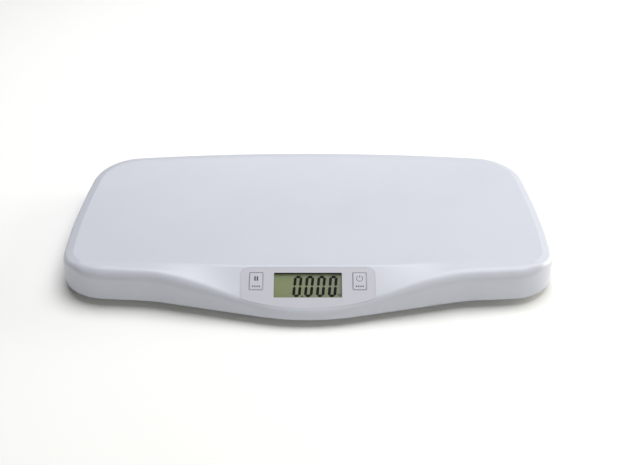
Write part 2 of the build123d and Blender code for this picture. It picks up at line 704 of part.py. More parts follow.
with BuildPart() as unit_board:
    with BuildSketch(Plane.XY.offset(unit_board_z)):
        with Locations((unit_x, unit_y)):
            Rectangle(unit_board_w, unit_board_h)
    extrude(amount=board_t)
export("unit_board", unit_board.part)

# ---- leads and parts on the main board ----
board_under = console.offset(-board_depth - board_t)


def lead(points):
    """One sheathed lead along a path of rounded bends."""
    with BuildPart() as wire:
        with BuildLine() as path:
            FilletPolyline(*points, radius=lead_bend)
        with BuildSketch(Plane(origin=path.line @ 0, z_dir=path.line % 0)):
            Circle(lead_d / 2)
        sweep()
    return wire.part


def board_end(x):
    """Where a lead meets the underside of the main board."""
    return tuple(board_under.from_local_coords((x, -lead_end_w, -lead_end_gap)))


cell_lead_z = cell_top_z + foot_travel + lead_lift + lead_d / 2
with BuildPart() as cell_leads:
    for x, y in foot_places.values():
        side = copysign(1, x)
        way = [(x - side * lead_in, y + lead_side, cell_lead_z),
               (x - side * lead_over, y + lead_side, lead_over_z),
               (x - side * lead_out, y + lead_side, lead_over_z)]
        if y < 0:
            way += [(x - side * (lead_out + lead_fall), y + lead_side, lead_low_z),
                    (side * front_run_x, front_run_y, lead_low_z),
                    (side * front_lead_x, front_run_y, lead_low_z), board_end(side * front_lead_x)]
        else:
            way += [(side * front_run_x, y + lead_side, lead_low_z), (side * front_run_x, back_run_y, lead_low_z),
                    (side * back_lead_x, back_run_y, lead_low_z), board_end(side * back_lead_x)]
        add(lead(way))
export("cell_leads", cell_leads.part)

battery_lead_z = box_roof_z + box_roof_t + lead_lift + lead_d / 2
with BuildPart() as battery_leads:
    for side in (-1, 1):
        x = side * battery_lead_x
        add(lead([(x, box_y0 + battery_lead_reach, battery_lead_z),
                  (x, box_y0 - battery_lead_reach, battery_lead_z), board_end(x)]))
export("battery_leads", battery_leads.part)

hump_y = cover_rib_y - cover_rib_span / 2  # the lead climbs over the cover's rib here
hump_z = cover_top_z + cover_rib_h + lead_lift + lead_d / 2
unit_lead_z = unit_board_z + board_t + lead_lift + lead_d / 2
with BuildPart() as unit_lead:
    start_x, start_y = unit_x + unit_lead_start[0], unit_y + unit_lead_start[1]
    add(lead([(start_x, start_y, unit_lead_z), (unit_x + unit_lead_over, start_y, unit_lead_z),
              (unit_x + unit_lead_foot[0], unit_y + unit_lead_foot[1], lead_low_z),
              (unit_lead_x, unit_turn_y, lead_low_z), (unit_lead_x, hump_y + hump_foot, lead_low_z),
              (unit_lead_x, hump_y + hump_top, hump_z), (unit_lead_x, hump_y - hump_top, hump_z),
              (unit_lead_x, hump_y - hump_foot, lead_low_z), (unit_lead_x, unit_run_y, lead_low_z),
              board_end(unit_lead_end_x)]))
export("unit_lead", unit_lead.part)

with BuildPart() as buzzer:
    with BuildSketch(board_under):
        with Locations(buzzer_place):
            Circle(buzzer_d / 2)
    extrude(amount=-buzzer_h)
export("buzzer", buzzer.part)

with BuildPart() as controller_chip:
    with BuildSketch(board_under):
        with Locations(chip_place):
            Circle(chip_d / 2)
    extrude(amount=-chip_h)
    fillet(controller_chip.edges().group_by(Axis.Z)[0], chip_edge_r)
export("controller_chip", controller_chip.part)
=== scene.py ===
"""Dresses the digital baby weighing scale: moulded tray, console, feet, cover and the studio around it."""

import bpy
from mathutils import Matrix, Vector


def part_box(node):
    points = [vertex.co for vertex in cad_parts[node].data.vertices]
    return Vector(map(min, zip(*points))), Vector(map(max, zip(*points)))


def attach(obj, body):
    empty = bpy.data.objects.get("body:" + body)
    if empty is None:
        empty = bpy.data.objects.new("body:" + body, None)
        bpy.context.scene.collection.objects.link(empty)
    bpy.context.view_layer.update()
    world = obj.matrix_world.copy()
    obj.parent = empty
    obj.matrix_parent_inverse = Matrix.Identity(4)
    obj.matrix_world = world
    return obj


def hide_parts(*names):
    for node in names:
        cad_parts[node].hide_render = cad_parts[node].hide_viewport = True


bl_info = {
    "name": "Baby scale dresser",
    "version": (1, 0, 0),
    "blender": (4, 5, 0),
    "location": "View3D > Sidebar > Scale",
    "description": "Builds the visible pieces and finishes of a digital baby weighing scale around its frame",
    "category": "Object",
}

from math import atan, atan2, cos, hypot, pi, radians, sin, sqrt, tan

import bmesh
import bpy
from bpy.props import FloatProperty, FloatVectorProperty, PointerProperty
from bpy.types import Operator, Panel, PropertyGroup
from mathutils import Matrix, Vector

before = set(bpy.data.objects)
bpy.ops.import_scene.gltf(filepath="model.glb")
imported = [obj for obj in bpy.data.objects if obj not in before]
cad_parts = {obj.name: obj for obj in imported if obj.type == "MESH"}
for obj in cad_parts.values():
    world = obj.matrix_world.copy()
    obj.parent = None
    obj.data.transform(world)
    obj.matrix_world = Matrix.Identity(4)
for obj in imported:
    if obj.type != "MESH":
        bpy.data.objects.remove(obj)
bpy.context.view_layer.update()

MM = 0.001

# Places of the cover's screws, of the main board's posts (across, down the console's slope) and of the feet
SCREWS = [(side * x * MM, y * MM) for x, y in ((140, -98), (246, 12), (140, 138)) for side in (-1, 1)]
POSTS = [(side * x * MM, down * MM) for x, down in ((61.0, 37.0), (44.0, 4.9)) for side in (-1, 1)]
FEET = {"front_left": (-0.205, -0.085), "front_right": (0.205, -0.085), "back_left": (-0.205, 0.110),
        "back_right": (0.205, 0.110)}


# ---------------------------------------------------------------- sizes and colours a user may change

def length(name, description, default):
    """A length property, in metres, given here in millimetres."""
    return FloatProperty(name=name, description=description, default=default * MM, unit="LENGTH", precision=5)


def colour(name, description, default):
    """A colour property, as a linear RGB triple."""
    return FloatVectorProperty(name=name, description=description, default=default, size=3, min=0, max=1,
                               subtype="COLOR")


def power(name, description, default):
    """A lamp's power property, in watts."""
    return FloatProperty(name=name, description=description, default=default, min=0, unit="POWER")


class TraySettings(PropertyGroup):
    """Plan and section of the moulded tray."""
    back_corner_x: length("Back corner X", "Half the width at the back corners", 263.8)
    back_corner_y: length("Back corner Y", "Where the back arc meets the side arc", 149.4)
    back_apex_y: length("Back apex", "Middle of the back edge", 164.92)
    side_mid_x: length("Side middle X", "Half the width at the middle of the sides", 274.95)
    side_mid_y: length("Side middle Y", "Where the sides are widest", 10.0)
    front_corner_x: length("Front corner X", "Half the width at the front corners", 261.5)
    front_corner_y: length("Front corner Y", "Front corner line", -122.7)
    shoulder_x: length("Shoulder X", "Where the front starts to run out to the nose", 165.9)
    shoulder_y: length("Shoulder Y", "Front line at the shoulders", -130.2)
    nose_y: length("Nose vertex", "Where the two flanks would meet", -171.0)
    back_corner_r: length("Back corner radius", "Plan rounding of the back corners", 58.0)
    front_corner_r: length("Front corner radius", "Plan rounding of the front corners", 55.0)
    shoulder_r: length("Shoulder radius", "Hollow rounding between front and flank", 150.0)
    nose_r: length("Nose radius", "Plan rounding of the nose", 207.0)
    wall: length("Wall", "Moulded wall thickness", 2.6)
    bottom_z: length("Lower edge", "Height of the wall's lower edge", 8.0)
    ridge_z: length("Crest height", "Crest between lying surface and apron", 44.2)
    ridge_y: length("Crest line", "Place of the crest", -116.0)
    sag: length("Sag", "Depth of the lying surface", 12.0)
    rim_r: length("Rim radius", "Rounding of the top edge", 9.0)
    flank_r: length("Front rounding", "Rounding of the top edge along the front's shoulders", 12.0)
    console_half: length("Console half width", "The console is flat this far from the middle", 62.0)
    console_end: length("Console end", "The console has become the shoulder here", 170.0)
    crest_front: length("Crest front", "Blend of the crest towards the console", 1.4)
    crest_back: length("Crest back", "Blend of the crest towards the lying surface", 4.0)
    crest_side: length("Crest side", "Blend of the crest at the shoulders", 2.5)
    crest_back_off: length("Crest set-back", "How far the crest moves back at the shoulders", 11.5)
    band_w: length("Band", "How much wider the rim is where it has its flat band", 1.2)
    band_r: length("Band rounding", "Rounding outside the flat band", 5.5)
    foot_edge_r: length("Lower edge radius", "Rounding of the wall's lower edge", 0.9)
    draft: FloatProperty(name="Draft", description="Lean of the wall", default=radians(1.7), subtype="ANGLE")
    apron_slope: FloatProperty(name="Console fall", description="Rise over run of the console", default=0.549)
    shoulder_slope: FloatProperty(name="Shoulder fall", description="Rise over run beside it", default=0.0)
    band_fall: FloatProperty(name="Band fall", description="Fall of the rim's flat band outwards",
                             default=radians(12), subtype="ANGLE")
    tint: colour("Plastic", "Colour of the tray's plastic", (0.583, 0.606, 0.684))
    gloss: FloatProperty(name="Roughness", description="Roughness of the tray's plastic", default=0.36,
                         min=0, max=1, subtype="FACTOR")


class ConsoleSettings(PropertyGroup):
    """Printed faceplate, keys and display; depths are measured square to the console's face."""
    film_half: length("Faceplate half width", "Half the width of the printed faceplate", 70.5)
    film_top: length("Faceplate top", "Down the slope from the crest", 1.7)
    film_side: length("Faceplate side", "Where the sides end, down the slope", 39.0)
    film_bottom: length("Faceplate bottom", "Lowest point, down the slope", 50.4)
    film_top_r: length("Top corners", "Rounding of the upper corners", 9.0)
    film_bottom_r: length("Bottom corners", "Rounding of the lower corners", 6.0)
    film_gap: length("Faceplate gap", "Gap round the faceplate", 0.15)
    film_t: length("Faceplate thickness", "Depth of the faceplate's seat", 0.8)
    window_w: length("Window width", "Width of the display window", 71.2)
    window_h: length("Window height", "Height of the display window", 29.2)
    window_y: length("Window place", "Middle of the window, down the slope", 23.2)
    lens_t: length("Lens thickness", "Thickness of the clear lens", 1.2)
    lens_margin: length("Lens margin", "How far the lens runs under the faceplate", 2.4)
    key_x: length("Key X", "Keys to each side of the middle", 54.2)
    key_y: length("Key place", "Middle of the keys, down the slope", 18.6)
    key_w: length("Key width", "Width of a key", 14.5)
    key_h: length("Key height", "Height of a key", 20.8)
    key_r: length("Key corners", "Rounding of a key's corners", 1.6)
    key_gap: length("Key gap", "Gap round a key", 0.3)
    key_proud: length("Key stand", "How far a key stands over the faceplate", 0.2)
    frame_line: length("Frame line", "Width of the printed frames on the keys", 0.3)
    frame_inset: length("Frame inset", "From a key's edge to its printed frame", 0.5)
    glass_depth: length("Glass depth", "From the console's face to the display glass", 2.7)
    stroke: length("Stroke", "Width of the display's segments", 3.0)
    digit_w: length("Figure width", "Width of one figure", 8.9)
    digit_pitch: length("Figure pitch", "From one figure to the next", 12.35)
    digit_top: length("Figure top", "Down the slope from the crest", 10.8)
    digit_bottom: length("Figure foot", "Down the slope from the crest", 35.9)
    digits_left: length("Figures' left end", "Left edge of the first figure at its foot", -16.7)
    unit_left: length("Unit's left end", "Left edge of the small unit", 31.0)
    unit_lift: length("Unit's foot", "Foot of the small unit over the figures' foot", 1.8)
    unit_size: length("Unit's size", "Size of the small unit's letters", 4.0)
    slant: FloatProperty(name="Slant", description="Lean of the figures, run over rise", default=0.095)
    # Near-black paint round the display's window: painted shade of the window's recess, on the tray's lens
    # ledge and on the cut edges.
    window_painted_shade: colour("Window surround", "Painted shade round the display's window", (0.012, 0.012, 0.013))
    print_t: length("Print thickness", "Thickness of screen printing", 0.03)
    film_tint: colour("Faceplate colour", "Colour of the faceplate", (0.555, 0.56, 0.63))
    key_tint: colour("Key colour", "Colour of the keys", (0.565, 0.57, 0.64))
    ink: colour("Ink", "Colour of the printed marks", (0.06, 0.06, 0.075))
    lcd_tint: colour("Display colour", "Colour of the resting display", (0.20, 0.24, 0.115))
    # The display's paler right end is painted light, not the panel's own colour.
    lcd_painted_light: colour("Display colour, right", "Painted light on the display's right end", (0.205, 0.225, 0.155))
    segment_ink: colour("Segment colour", "Colour of the display's segments", (0.0015, 0.0018, 0.001))


class UndersideSettings(PropertyGroup):
    """Ribs, screws, feet, cells and boards."""
    rib_pitch_x: length("Rib pitch X", "Between the ribs across the tray", 110.0)
    rib_pitch_y: length("Rib pitch Y", "Between the ribs along the tray", 80.0)
    rib_t: length("Rib thickness", "Thickness of the tray's ribs", 1.6)
    rib_foot_z: length("Rib foot", "Height of the ribs' lower edge", 25.0)
    boss_d: length("Boss diameter", "Screw bosses under the tray", 9.0)
    boss_z: length("Boss foot", "Height of the bosses' lower face", 15.0)
    screw_d: length("Screw diameter", "Thread of the cover's screws", 3.0)
    screw_len: length("Screw length", "Shank of the cover's screws", 10.6)
    head_d: length("Head diameter", "Heads of the cover's screws", 6.2)
    head_h: length("Head height", "Heads of the cover's screws", 2.2)
    head_z: length("Head place", "Height of the heads' lower face", 10.2)
    board_depth: length("Board depth", "From the console's face to the main board", 8.0)
    board_t: length("Board thickness", "Thickness of the main board", 1.6)
    pad_d: length("Pad diameter", "Rubber pads", 33.0)
    pad_t: length("Pad thickness", "Rubber pads", 3.0)
    cover_tint: colour("Cover colour", "Colour of the bottom cover", (0.54, 0.55, 0.59))
    button_tint: colour("Button colour", "Colour of the unit button", (0.10, 0.10, 0.11))
    rubber_tint: colour("Pad colour", "Colour of the rubber pads", (0.045, 0.045, 0.05))
    cup_tint: colour("Cup colour", "Colour of the feet's cups", (0.50, 0.50, 0.52))
    sleeve_tint: colour("Cell colour", "Colour of the battery sleeves", (0.03, 0.05, 0.12))


class StageSettings(PropertyGroup):
    """Camera, floor and lights."""
    camera_x: length("Camera X", "Across", 2.2)
    camera_y: length("Camera Y", "In front", -971.4)
    camera_z: length("Camera Z", "Above the floor", 588.6)
    pitch: FloatProperty(name="Camera pitch", description="Down from level", default=radians(30.5),
                         subtype="ANGLE")
    lens: FloatProperty(name="Lens", description="Focal length on a 36 mm sensor", default=55.69,
                        unit="CAMERA")
    right_power: power("Right light", "Power of the light on the right", 21.5)
    top_power: power("Top light", "Power of the light above", 57.5)
    front_power: power("Front light", "Power of the light in front", 11.5)
    world: FloatProperty(name="Surround", description="Brightness of the room's right side", default=0.2)


def mat_tree(name):
    """A new node material and its parts."""
    material = bpy.data.materials.new(name)
    material.use_nodes = True
    nodes = material.node_tree.nodes
    return material, nodes, material.node_tree.links, nodes["Principled BSDF"]


def texture_space(nodes, links, scale=(1, 1, 1)):
    """Object coordinates through a Mapping node."""
    place = nodes.new("ShaderNodeTexCoord")
    mapping = nodes.new("ShaderNodeMapping")
    mapping.inputs["Scale"].default_value = scale
    links.new(place.outputs["Object"], mapping.inputs["Vector"])
    return mapping.outputs["Vector"]


def noise(nodes, links, space, scale, detail=2.0):
    """Soft noise over a texture space."""
    texture = nodes.new("ShaderNodeTexNoise")
    texture.inputs["Scale"].default_value = scale
    texture.inputs["Detail"].default_value = detail
    texture.inputs["Roughness"].default_value = 0.5
    links.new(space, texture.inputs["Vector"])
    return texture.outputs["Fac"]


def ramp(nodes, links, value, low, high, a=0.0, b=1.0):
    """Spread a value between two colours."""
    band = nodes.new("ShaderNodeValToRGB")
    band.color_ramp.elements[0].position = a
    band.color_ramp.elements[1].position = b
    band.color_ramp.elements[0].color = (*low, 1)
    band.color_ramp.elements[1].color = (*high, 1)
    links.new(value, band.inputs["Fac"])
    return band.outputs["Color"]


def bump(nodes, links, shader, height, distance):
    """Fine relief from a height."""
    relief = nodes.new("ShaderNodeBump")
    relief.inputs["Distance"].default_value = distance
    relief.inputs["Strength"].default_value = 1.0
    links.new(height, relief.inputs["Height"])
    links.new(relief.outputs["Normal"], shader.inputs["Normal"])


def grey(value):
    """A grey colour."""
    return (value, value, value)


def shade(tint, factor):
    """A colour made darker or lighter."""
    return tuple(min(1.0, c * factor) for c in tint)


def moulded_plastic(name, tint, roughness, grain=900.0, depth=0.00002, coat=0.0, mottle=0.015,
                    specular=0.5):
    """Injection-moulded plastic: faint flow marks, fine grain and a slightly uneven gloss."""
    material, nodes, links, shader = mat_tree(name)
    space = texture_space(nodes, links)
    flow = noise(nodes, links, space, 7.0, 3.0)
    links.new(ramp(nodes, links, flow, shade(tint, 1 - mottle), shade(tint, 1 + mottle), 0.3, 0.7),
              shader.inputs["Base Color"])
    wear = noise(nodes, links, space, 26.0, 4.0)
    links.new(ramp(nodes, links, wear, grey(roughness * 0.92), grey(roughness * 1.10), 0.3, 0.7),
              shader.inputs["Roughness"])
    bump(nodes, links, shader, noise(nodes, links, space, grain, 2.0), depth)
    shader.inputs["Coat Weight"].default_value = coat
    shader.inputs["Coat Roughness"].default_value = 0.12
    shader.inputs["Specular IOR Level"].default_value = specular
    shader.inputs["IOR"].default_value = 1.5
    return material


def brushed_metal(name, tint, roughness, lines=(40, 900, 40)):
    """Sheet or bar metal with a drawn grain."""
    material, nodes, links, shader = mat_tree(name)
    space = texture_space(nodes, links, lines)
    drawn = noise(nodes, links, space, 1.0, 3.0)
    links.new(ramp(nodes, links, drawn, shade(tint, 0.86), shade(tint, 1.1), 0.3, 0.7),
              shader.inputs["Base Color"])
    links.new(ramp(nodes, links, drawn, grey(roughness * 0.8), grey(roughness * 1.25), 0.3, 0.7),
              shader.inputs["Roughness"])
    bump(nodes, links, shader, drawn, 0.00001)
    shader.inputs["Metallic"].default_value = 1.0
    return material


def circuit_laminate(name):
    """Green solder mask with a faint grid of copper under it."""
    material, nodes, links, shader = mat_tree(name)
    space = texture_space(nodes, links)
    brick = nodes.new("ShaderNodeTexBrick")
    brick.inputs["Color1"].default_value = (0.012, 0.09, 0.035, 1)
    brick.inputs["Color2"].default_value = (0.014, 0.11, 0.04, 1)
    brick.inputs["Mortar"].default_value = (0.03, 0.17, 0.06, 1)
    brick.inputs["Scale"].default_value = 220.0
    brick.inputs["Mortar Size"].default_value = 0.06
    links.new(space, brick.inputs["Vector"])
    links.new(brick.outputs["Color"], shader.inputs["Base Color"])
    bump(nodes, links, shader, brick.outputs["Fac"], 0.00003)
    shader.inputs["Roughness"].default_value = 0.35
    return material


def clear_lens(name):
    """Thin clear acrylic: nearly unseen, apart from its reflection."""
    material, nodes, links, shader = mat_tree(name)
    space = texture_space(nodes, links)
    haze = noise(nodes, links, space, 60.0, 2.0)
    links.new(ramp(nodes, links, haze, grey(0.04), grey(0.07)), shader.inputs["Roughness"])
    shader.inputs["Base Color"].default_value = (0.95, 0.97, 0.95, 1)
    shader.inputs["Alpha"].default_value = 0.004
    shader.inputs["Specular IOR Level"].default_value = 0.04
    material.surface_render_method = "BLENDED"
    return material


def display_glass(name, tint, pale):
    """Reflective green liquid-crystal panel, greyer to the right with painted light."""
    material, nodes, links, shader = mat_tree(name)
    space = texture_space(nodes, links)
    split = nodes.new("ShaderNodeSeparateXYZ")
    links.new(space, split.inputs["Vector"])
    across = nodes.new("ShaderNodeMapRange")
    across.inputs["From Min"].default_value = -0.035
    across.inputs["From Max"].default_value = 0.035
    links.new(split.outputs["X"], across.inputs["Value"])
    # The colour turns paler across the panel towards the right: painted light.
    links.new(ramp(nodes, links, across.outputs["Result"], tint, pale, 0.1, 0.9),
              shader.inputs["Base Color"])
    bump(nodes, links, shader, noise(nodes, links, space, 2500.0), 0.00001)
    shader.inputs["Roughness"].default_value = 0.32
    shader.inputs["Specular IOR Level"].default_value = 0.2
    return material


def rubber(name, tint):
    """Soft moulded rubber with a random dusty mottle."""
    material, nodes, links, shader = mat_tree(name)
    space = texture_space(nodes, links)
    dust = noise(nodes, links, space, 45.0, 4.0)
    links.new(ramp(nodes, links, dust, shade(tint, 0.85), shade(tint, 1.4), 0.35, 0.75),
              shader.inputs["Base Color"])
    bump(nodes, links, shader, noise(nodes, links, space, 1400.0, 3.0), 0.00004)
    shader.inputs["Roughness"].default_value = 0.75
    shader.inputs["Sheen Weight"].default_value = 0.15
    return material


# ---------------------------------------------------------------- mesh helpers

def finish_mesh(name, bm, material, smooth_angle=None):
    """Turn a bmesh into an object at the origin."""
    mesh = bpy.data.meshes.new(name)
    bm.to_mesh(mesh)
    bm.free()
    piece = bpy.data.objects.new(name, mesh)
    bpy.context.scene.collection.objects.link(piece)
    mesh.materials.append(material)
    if smooth_angle is not None:
        mesh.shade_smooth()
        mesh.set_sharp_from_angle(angle=smooth_angle)
    return piece


def seat(piece, body, slot, *nodes):
    """Let a finished piece ride on a body and stand for its nodes, which it hides; the slot is not used."""
    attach(piece, body)
    if nodes:
        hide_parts(*nodes)
    return piece


def clamped(value):
    """The nearest value from 0 to 1."""
    return min(1.0, max(0.0, value))


def eased(value):
    """0 up to 0, 1 from 1 on, eased between."""
    t = clamped(value)
    return t * t * (3 - 2 * t)


def arc_through(a, b, c, step):
    """Points on the circle arc from a through b to c, about a step apart, without the last."""
    (ax, ay), (bx, by), (cx, cy) = a, b, c
    d = 2 * (ax * (by - cy) + bx * (cy - ay) + cx * (ay - by))
    ux = ((ax**2 + ay**2) * (by - cy) + (bx**2 + by**2) * (cy - ay) + (cx**2 + cy**2) * (ay - by)) / d
    uy = ((ax**2 + ay**2) * (cx - bx) + (bx**2 + by**2) * (ax - cx) + (cx**2 + cy**2) * (bx - ax)) / d
    r = hypot(ax - ux, ay - uy)
    t0, t1, t2 = (atan2(y - uy, x - ux) for x, y in (a, b, c))
    turn = (t2 - t0) % (2 * pi)
    if (t1 - t0) % (2 * pi) > turn:
        turn -= 2 * pi
    count = max(2, int(abs(turn) * r / step))
    return [(ux + r * cos(t0 + turn * k / count), uy + r * sin(t0 + turn * k / count)) for k in range(count)]


def line_between(a, b, step):
    """Points from a towards b, about a step apart, without the last."""
    count = max(1, int(hypot(b[0] - a[0], b[1] - a[1]) / step))
    return [(a[0] + (b[0] - a[0]) * k / count, a[1] + (b[1] - a[1]) * k / count) for k in range(count)]


def round_corner(points, at, radius, step):
    """Round a dense closed outline near a corner point with a circle of this radius."""
    count = len(points)
    start = min(range(count), key=lambda k: hypot(points[k][0] - at[0], points[k][1] - at[1]))

    def tangent(k):
        """Direction of the outline at a point."""
        (x0, y0), (x1, y1) = points[(k - 1) % count], points[(k + 1) % count]
        size = hypot(x1 - x0, y1 - y0)
        return (x1 - x0) / size, (y1 - y0) / size

    (tx, ty), (sx, sy) = tangent(start - 3), tangent(start + 3)
    side = 1 if tx * sy - ty * sx > 0 else -1

    def offset(k):
        """Where the circle's centre would be if it touched the outline at a point."""
        (x, y), (ux, uy) = points[k % count], tangent(k % count)
        return x - side * uy * radius, y + side * ux * radius

    best = None
    reach = int(1.6 * radius / step)
    behind = [offset(start - k) for k in range(2, reach)]
    ahead = [offset(start + k) for k in range(2, reach)]
    for i, p in enumerate(behind):
        for j, q in enumerate(ahead):
            gap = hypot(p[0] - q[0], p[1] - q[1])
            if best is None or gap < best[0]:
                best = (gap, i + 2, j + 2, p)
    _, back, forth, centre = best
    a, b = points[(start - back) % count], points[(start + forth) % count]
    t0 = atan2(a[1] - centre[1], a[0] - centre[0])
    turn = (atan2(b[1] - centre[1], b[0] - centre[0]) - t0 + pi) % (2 * pi) - pi
    steps = max(3, int(abs(turn) * radius / step))
    angles = [t0 + turn * k / steps for k in range(1, steps)]
    bend = [(centre[0] + radius * cos(angle), centre[1] + radius * sin(angle)) for angle in angles]
    kept = [points[(start + forth + k) % count] for k in range(count - back - forth + 1)]
    return kept + bend


def outward_normals(points):
    """The outward direction at each point of a counter-clockwise outline."""
    normals = []
    for k in range(len(points)):
        (x0, y0), (x1, y1) = points[k - 1], points[(k + 1) % len(points)]
        size = hypot(x1 - x0, y1 - y0)
        normals.append(((y1 - y0) / size, -(x1 - x0) / size))
    return normals


def tray_plan(tray, step=0.0025):
    """The tray's outline as dense points, counter-clockwise from above."""
    back = (tray.back_corner_x, tray.back_corner_y)
    front = (tray.front_corner_x, tray.front_corner_y)
    shoulder = (tray.shoulder_x, tray.shoulder_y)
    side = (tray.side_mid_x, tray.side_mid_y)

    def left(p):
        """The same point on the left side."""
        return -p[0], p[1]

    share = 5
    fine = step / share
    points = arc_through(back, (0, tray.back_apex_y), left(back), fine)
    points += arc_through(left(back), left(side), left(front), fine)
    points += line_between(left(front), left(shoulder), fine)
    points += line_between(left(shoulder), (0, tray.nose_y), fine)
    points += line_between((0, tray.nose_y), shoulder, fine)
    points += line_between(shoulder, front, fine)
    points += arc_through(front, side, back, fine)
    roundings = [(back, tray.back_corner_r), (left(back), tray.back_corner_r),
                 (left(front), tray.front_corner_r), (left(shoulder), tray.shoulder_r),
                 ((0, tray.nose_y), tray.nose_r), (shoulder, tray.shoulder_r), (front, tray.front_corner_r)]
    for corner, radius in roundings:
        points = round_corner(points, corner, radius, fine)
    return points[::share]


def shoulder_part(tray, x):
    """0 on the console, 1 on the shoulders, eased between."""
    return eased((abs(x) - tray.console_half) / (tray.console_end - tray.console_half))


def crest_line(tray, x):
    """Where the crest lies across the tray."""
    return tray.ridge_y + tray.crest_back_off * shoulder_part(tray, x)


def tray_top(tray, x, y):
    """Height of the tray's top at a place: apron, blended crest or lying surface."""
    half = (tray.back_apex_y - tray.ridge_y) / 2
    middle = (tray.back_apex_y + tray.ridge_y) / 2
    radius = (half**2 + tray.sag**2) / (2 * tray.sag)
    axis_z = tray.ridge_z - tray.sag + radius
    ease = shoulder_part(tray, x)
    fall = tray.apron_slope + (tray.shoulder_slope - tray.apron_slope) * ease
    ahead = tray.crest_front + (tray.crest_side - tray.crest_front) * ease
    behind = tray.crest_back + (tray.crest_side - tray.crest_back) * ease

    def lying(v):
        """Height of the lying surface."""
        return axis_z - sqrt(radius**2 - (v - middle) ** 2)

    crest_y = crest_line(tray, x)
    crest_z = lying(crest_y)
    y0, y1 = crest_y - ahead, crest_y + behind
    if y <= y0:
        return crest_z + (y - crest_y) * fall
    if y >= y1:
        return lying(y)
    z0, z1 = crest_z - ahead * fall, lying(y1)
    run = y1 - y0
    m1 = (y1 - middle) / sqrt(radius**2 - (y1 - middle) ** 2)
    u = (y - y0) / run
    return (z0 * (2 * u**3 - 3 * u**2 + 1) + z1 * (3 * u**2 - 2 * u**3)
            + run * (fall * (u**3 - 2 * u**2 + u) + m1 * (u**3 - u**2)))


def console_matrix(tray, depth=0.0):
    """The console's plane: x across, y up the slope, z out, moved inwards by depth."""
    tilt = atan(tray.apron_slope)
    return (Matrix.Translation((0, tray.ridge_y, tray.ridge_z)) @ Matrix.Rotation(tilt, 4, "X")
            @ Matrix.Translation((0, 0, -depth)))


def film_plan(console, grow=0.0, step=0.0006):
    """Outline of the faceplate on the console's plane."""
    half, side, low, top = console.film_half, -console.film_side, -console.film_bottom, -console.film_top
    points = line_between((half, side), (half, top), step)
    points += line_between((half, top), (-half, top), step)
    points += line_between((-half, top), (-half, side), step)
    points += arc_through((-half, side), (0, low), (half, side), step)
    for corner, radius in (((half, top), console.film_top_r), ((-half, top), console.film_top_r),
                           ((-half, side), console.film_bottom_r), ((half, side), console.film_bottom_r)):
        points = round_corner(points, corner, radius, step)
    grown = [(x + grow * nx, y + grow * ny) for (x, y), (nx, ny) in zip(points, outward_normals(points))]
    return grown[::2]


def slab(points, z0, z1, place):
    """A closed slab over an outline, between two heights, moved by a matrix."""
    bm = bmesh.new()
    face = bm.faces.new([bm.verts.new((x, y, z0)) for x, y in points])
    top = bmesh.ops.extrude_face_region(bm, geom=[face])
    lifted = [v for v in top["geom"] if isinstance(v, bmesh.types.BMVert)]
    bmesh.ops.translate(bm, vec=(0, 0, z1 - z0), verts=lifted)
    bmesh.ops.recalc_face_normals(bm, faces=bm.faces)
    bmesh.ops.transform(bm, matrix=place, verts=bm.verts)
    return bm


def rounded_rectangle(x, y, w, h, r, steps=6):
    """Outline of a rounded rectangle about a centre."""
    points = []
    for cx, cy, start in ((x + w / 2 - r, y + h / 2 - r, 0), (x - w / 2 + r, y + h / 2 - r, pi / 2),
                          (x - w / 2 + r, y - h / 2 + r, pi), (x + w / 2 - r, y - h / 2 + r, 1.5 * pi)):
        points += [(cx + r * cos(start + pi / 2 * k / steps), cy + r * sin(start + pi / 2 * k / steps))
                   for k in range(steps + 1)]
    return points


def window_plan(console, radius, grow=0.0):
    """Outline of the display's window on the console's plane, grown on each side."""
    w, h = console.window_w + 2 * grow, console.window_h + 2 * grow
    return rounded_rectangle(0, -console.window_y, w, h, radius)


def key_hole_plan(console, side):
    """Outline of the hole round the left or right key on the console's plane."""
    return rounded_rectangle(side * console.key_x, -console.key_y, console.key_w + 2 * console.key_gap,
                             console.key_h + 2 * console.key_gap, console.key_r + console.key_gap)


def near_window(console, at, margin):
    """Whether a place on the console's plane lies in the display's window or this near to it."""
    return (abs(at.x) < console.window_w / 2 + margin
            and abs(at.y + console.window_y) < console.window_h / 2 + margin)


def cut(piece, bm):
    """Take the cutter's volume out of a piece."""
    mesh = bpy.data.meshes.new("cutter")
    bm.to_mesh(mesh)
    bm.free()
    cutter = bpy.data.objects.new("cutter", mesh)
    bpy.context.scene.collection.objects.link(cutter)
    modifier = piece.modifiers.new("cut", "BOOLEAN")
    modifier.object = cutter
    modifier.solver = "EXACT"
    graph = bpy.context.evaluated_depsgraph_get()
    result = bpy.data.meshes.new_from_object(piece.evaluated_get(graph))
    piece.modifiers.clear()
    old = piece.data
    piece.data = result
    bpy.data.meshes.remove(old)
    bpy.data.objects.remove(cutter)
    bpy.data.meshes.remove(mesh)


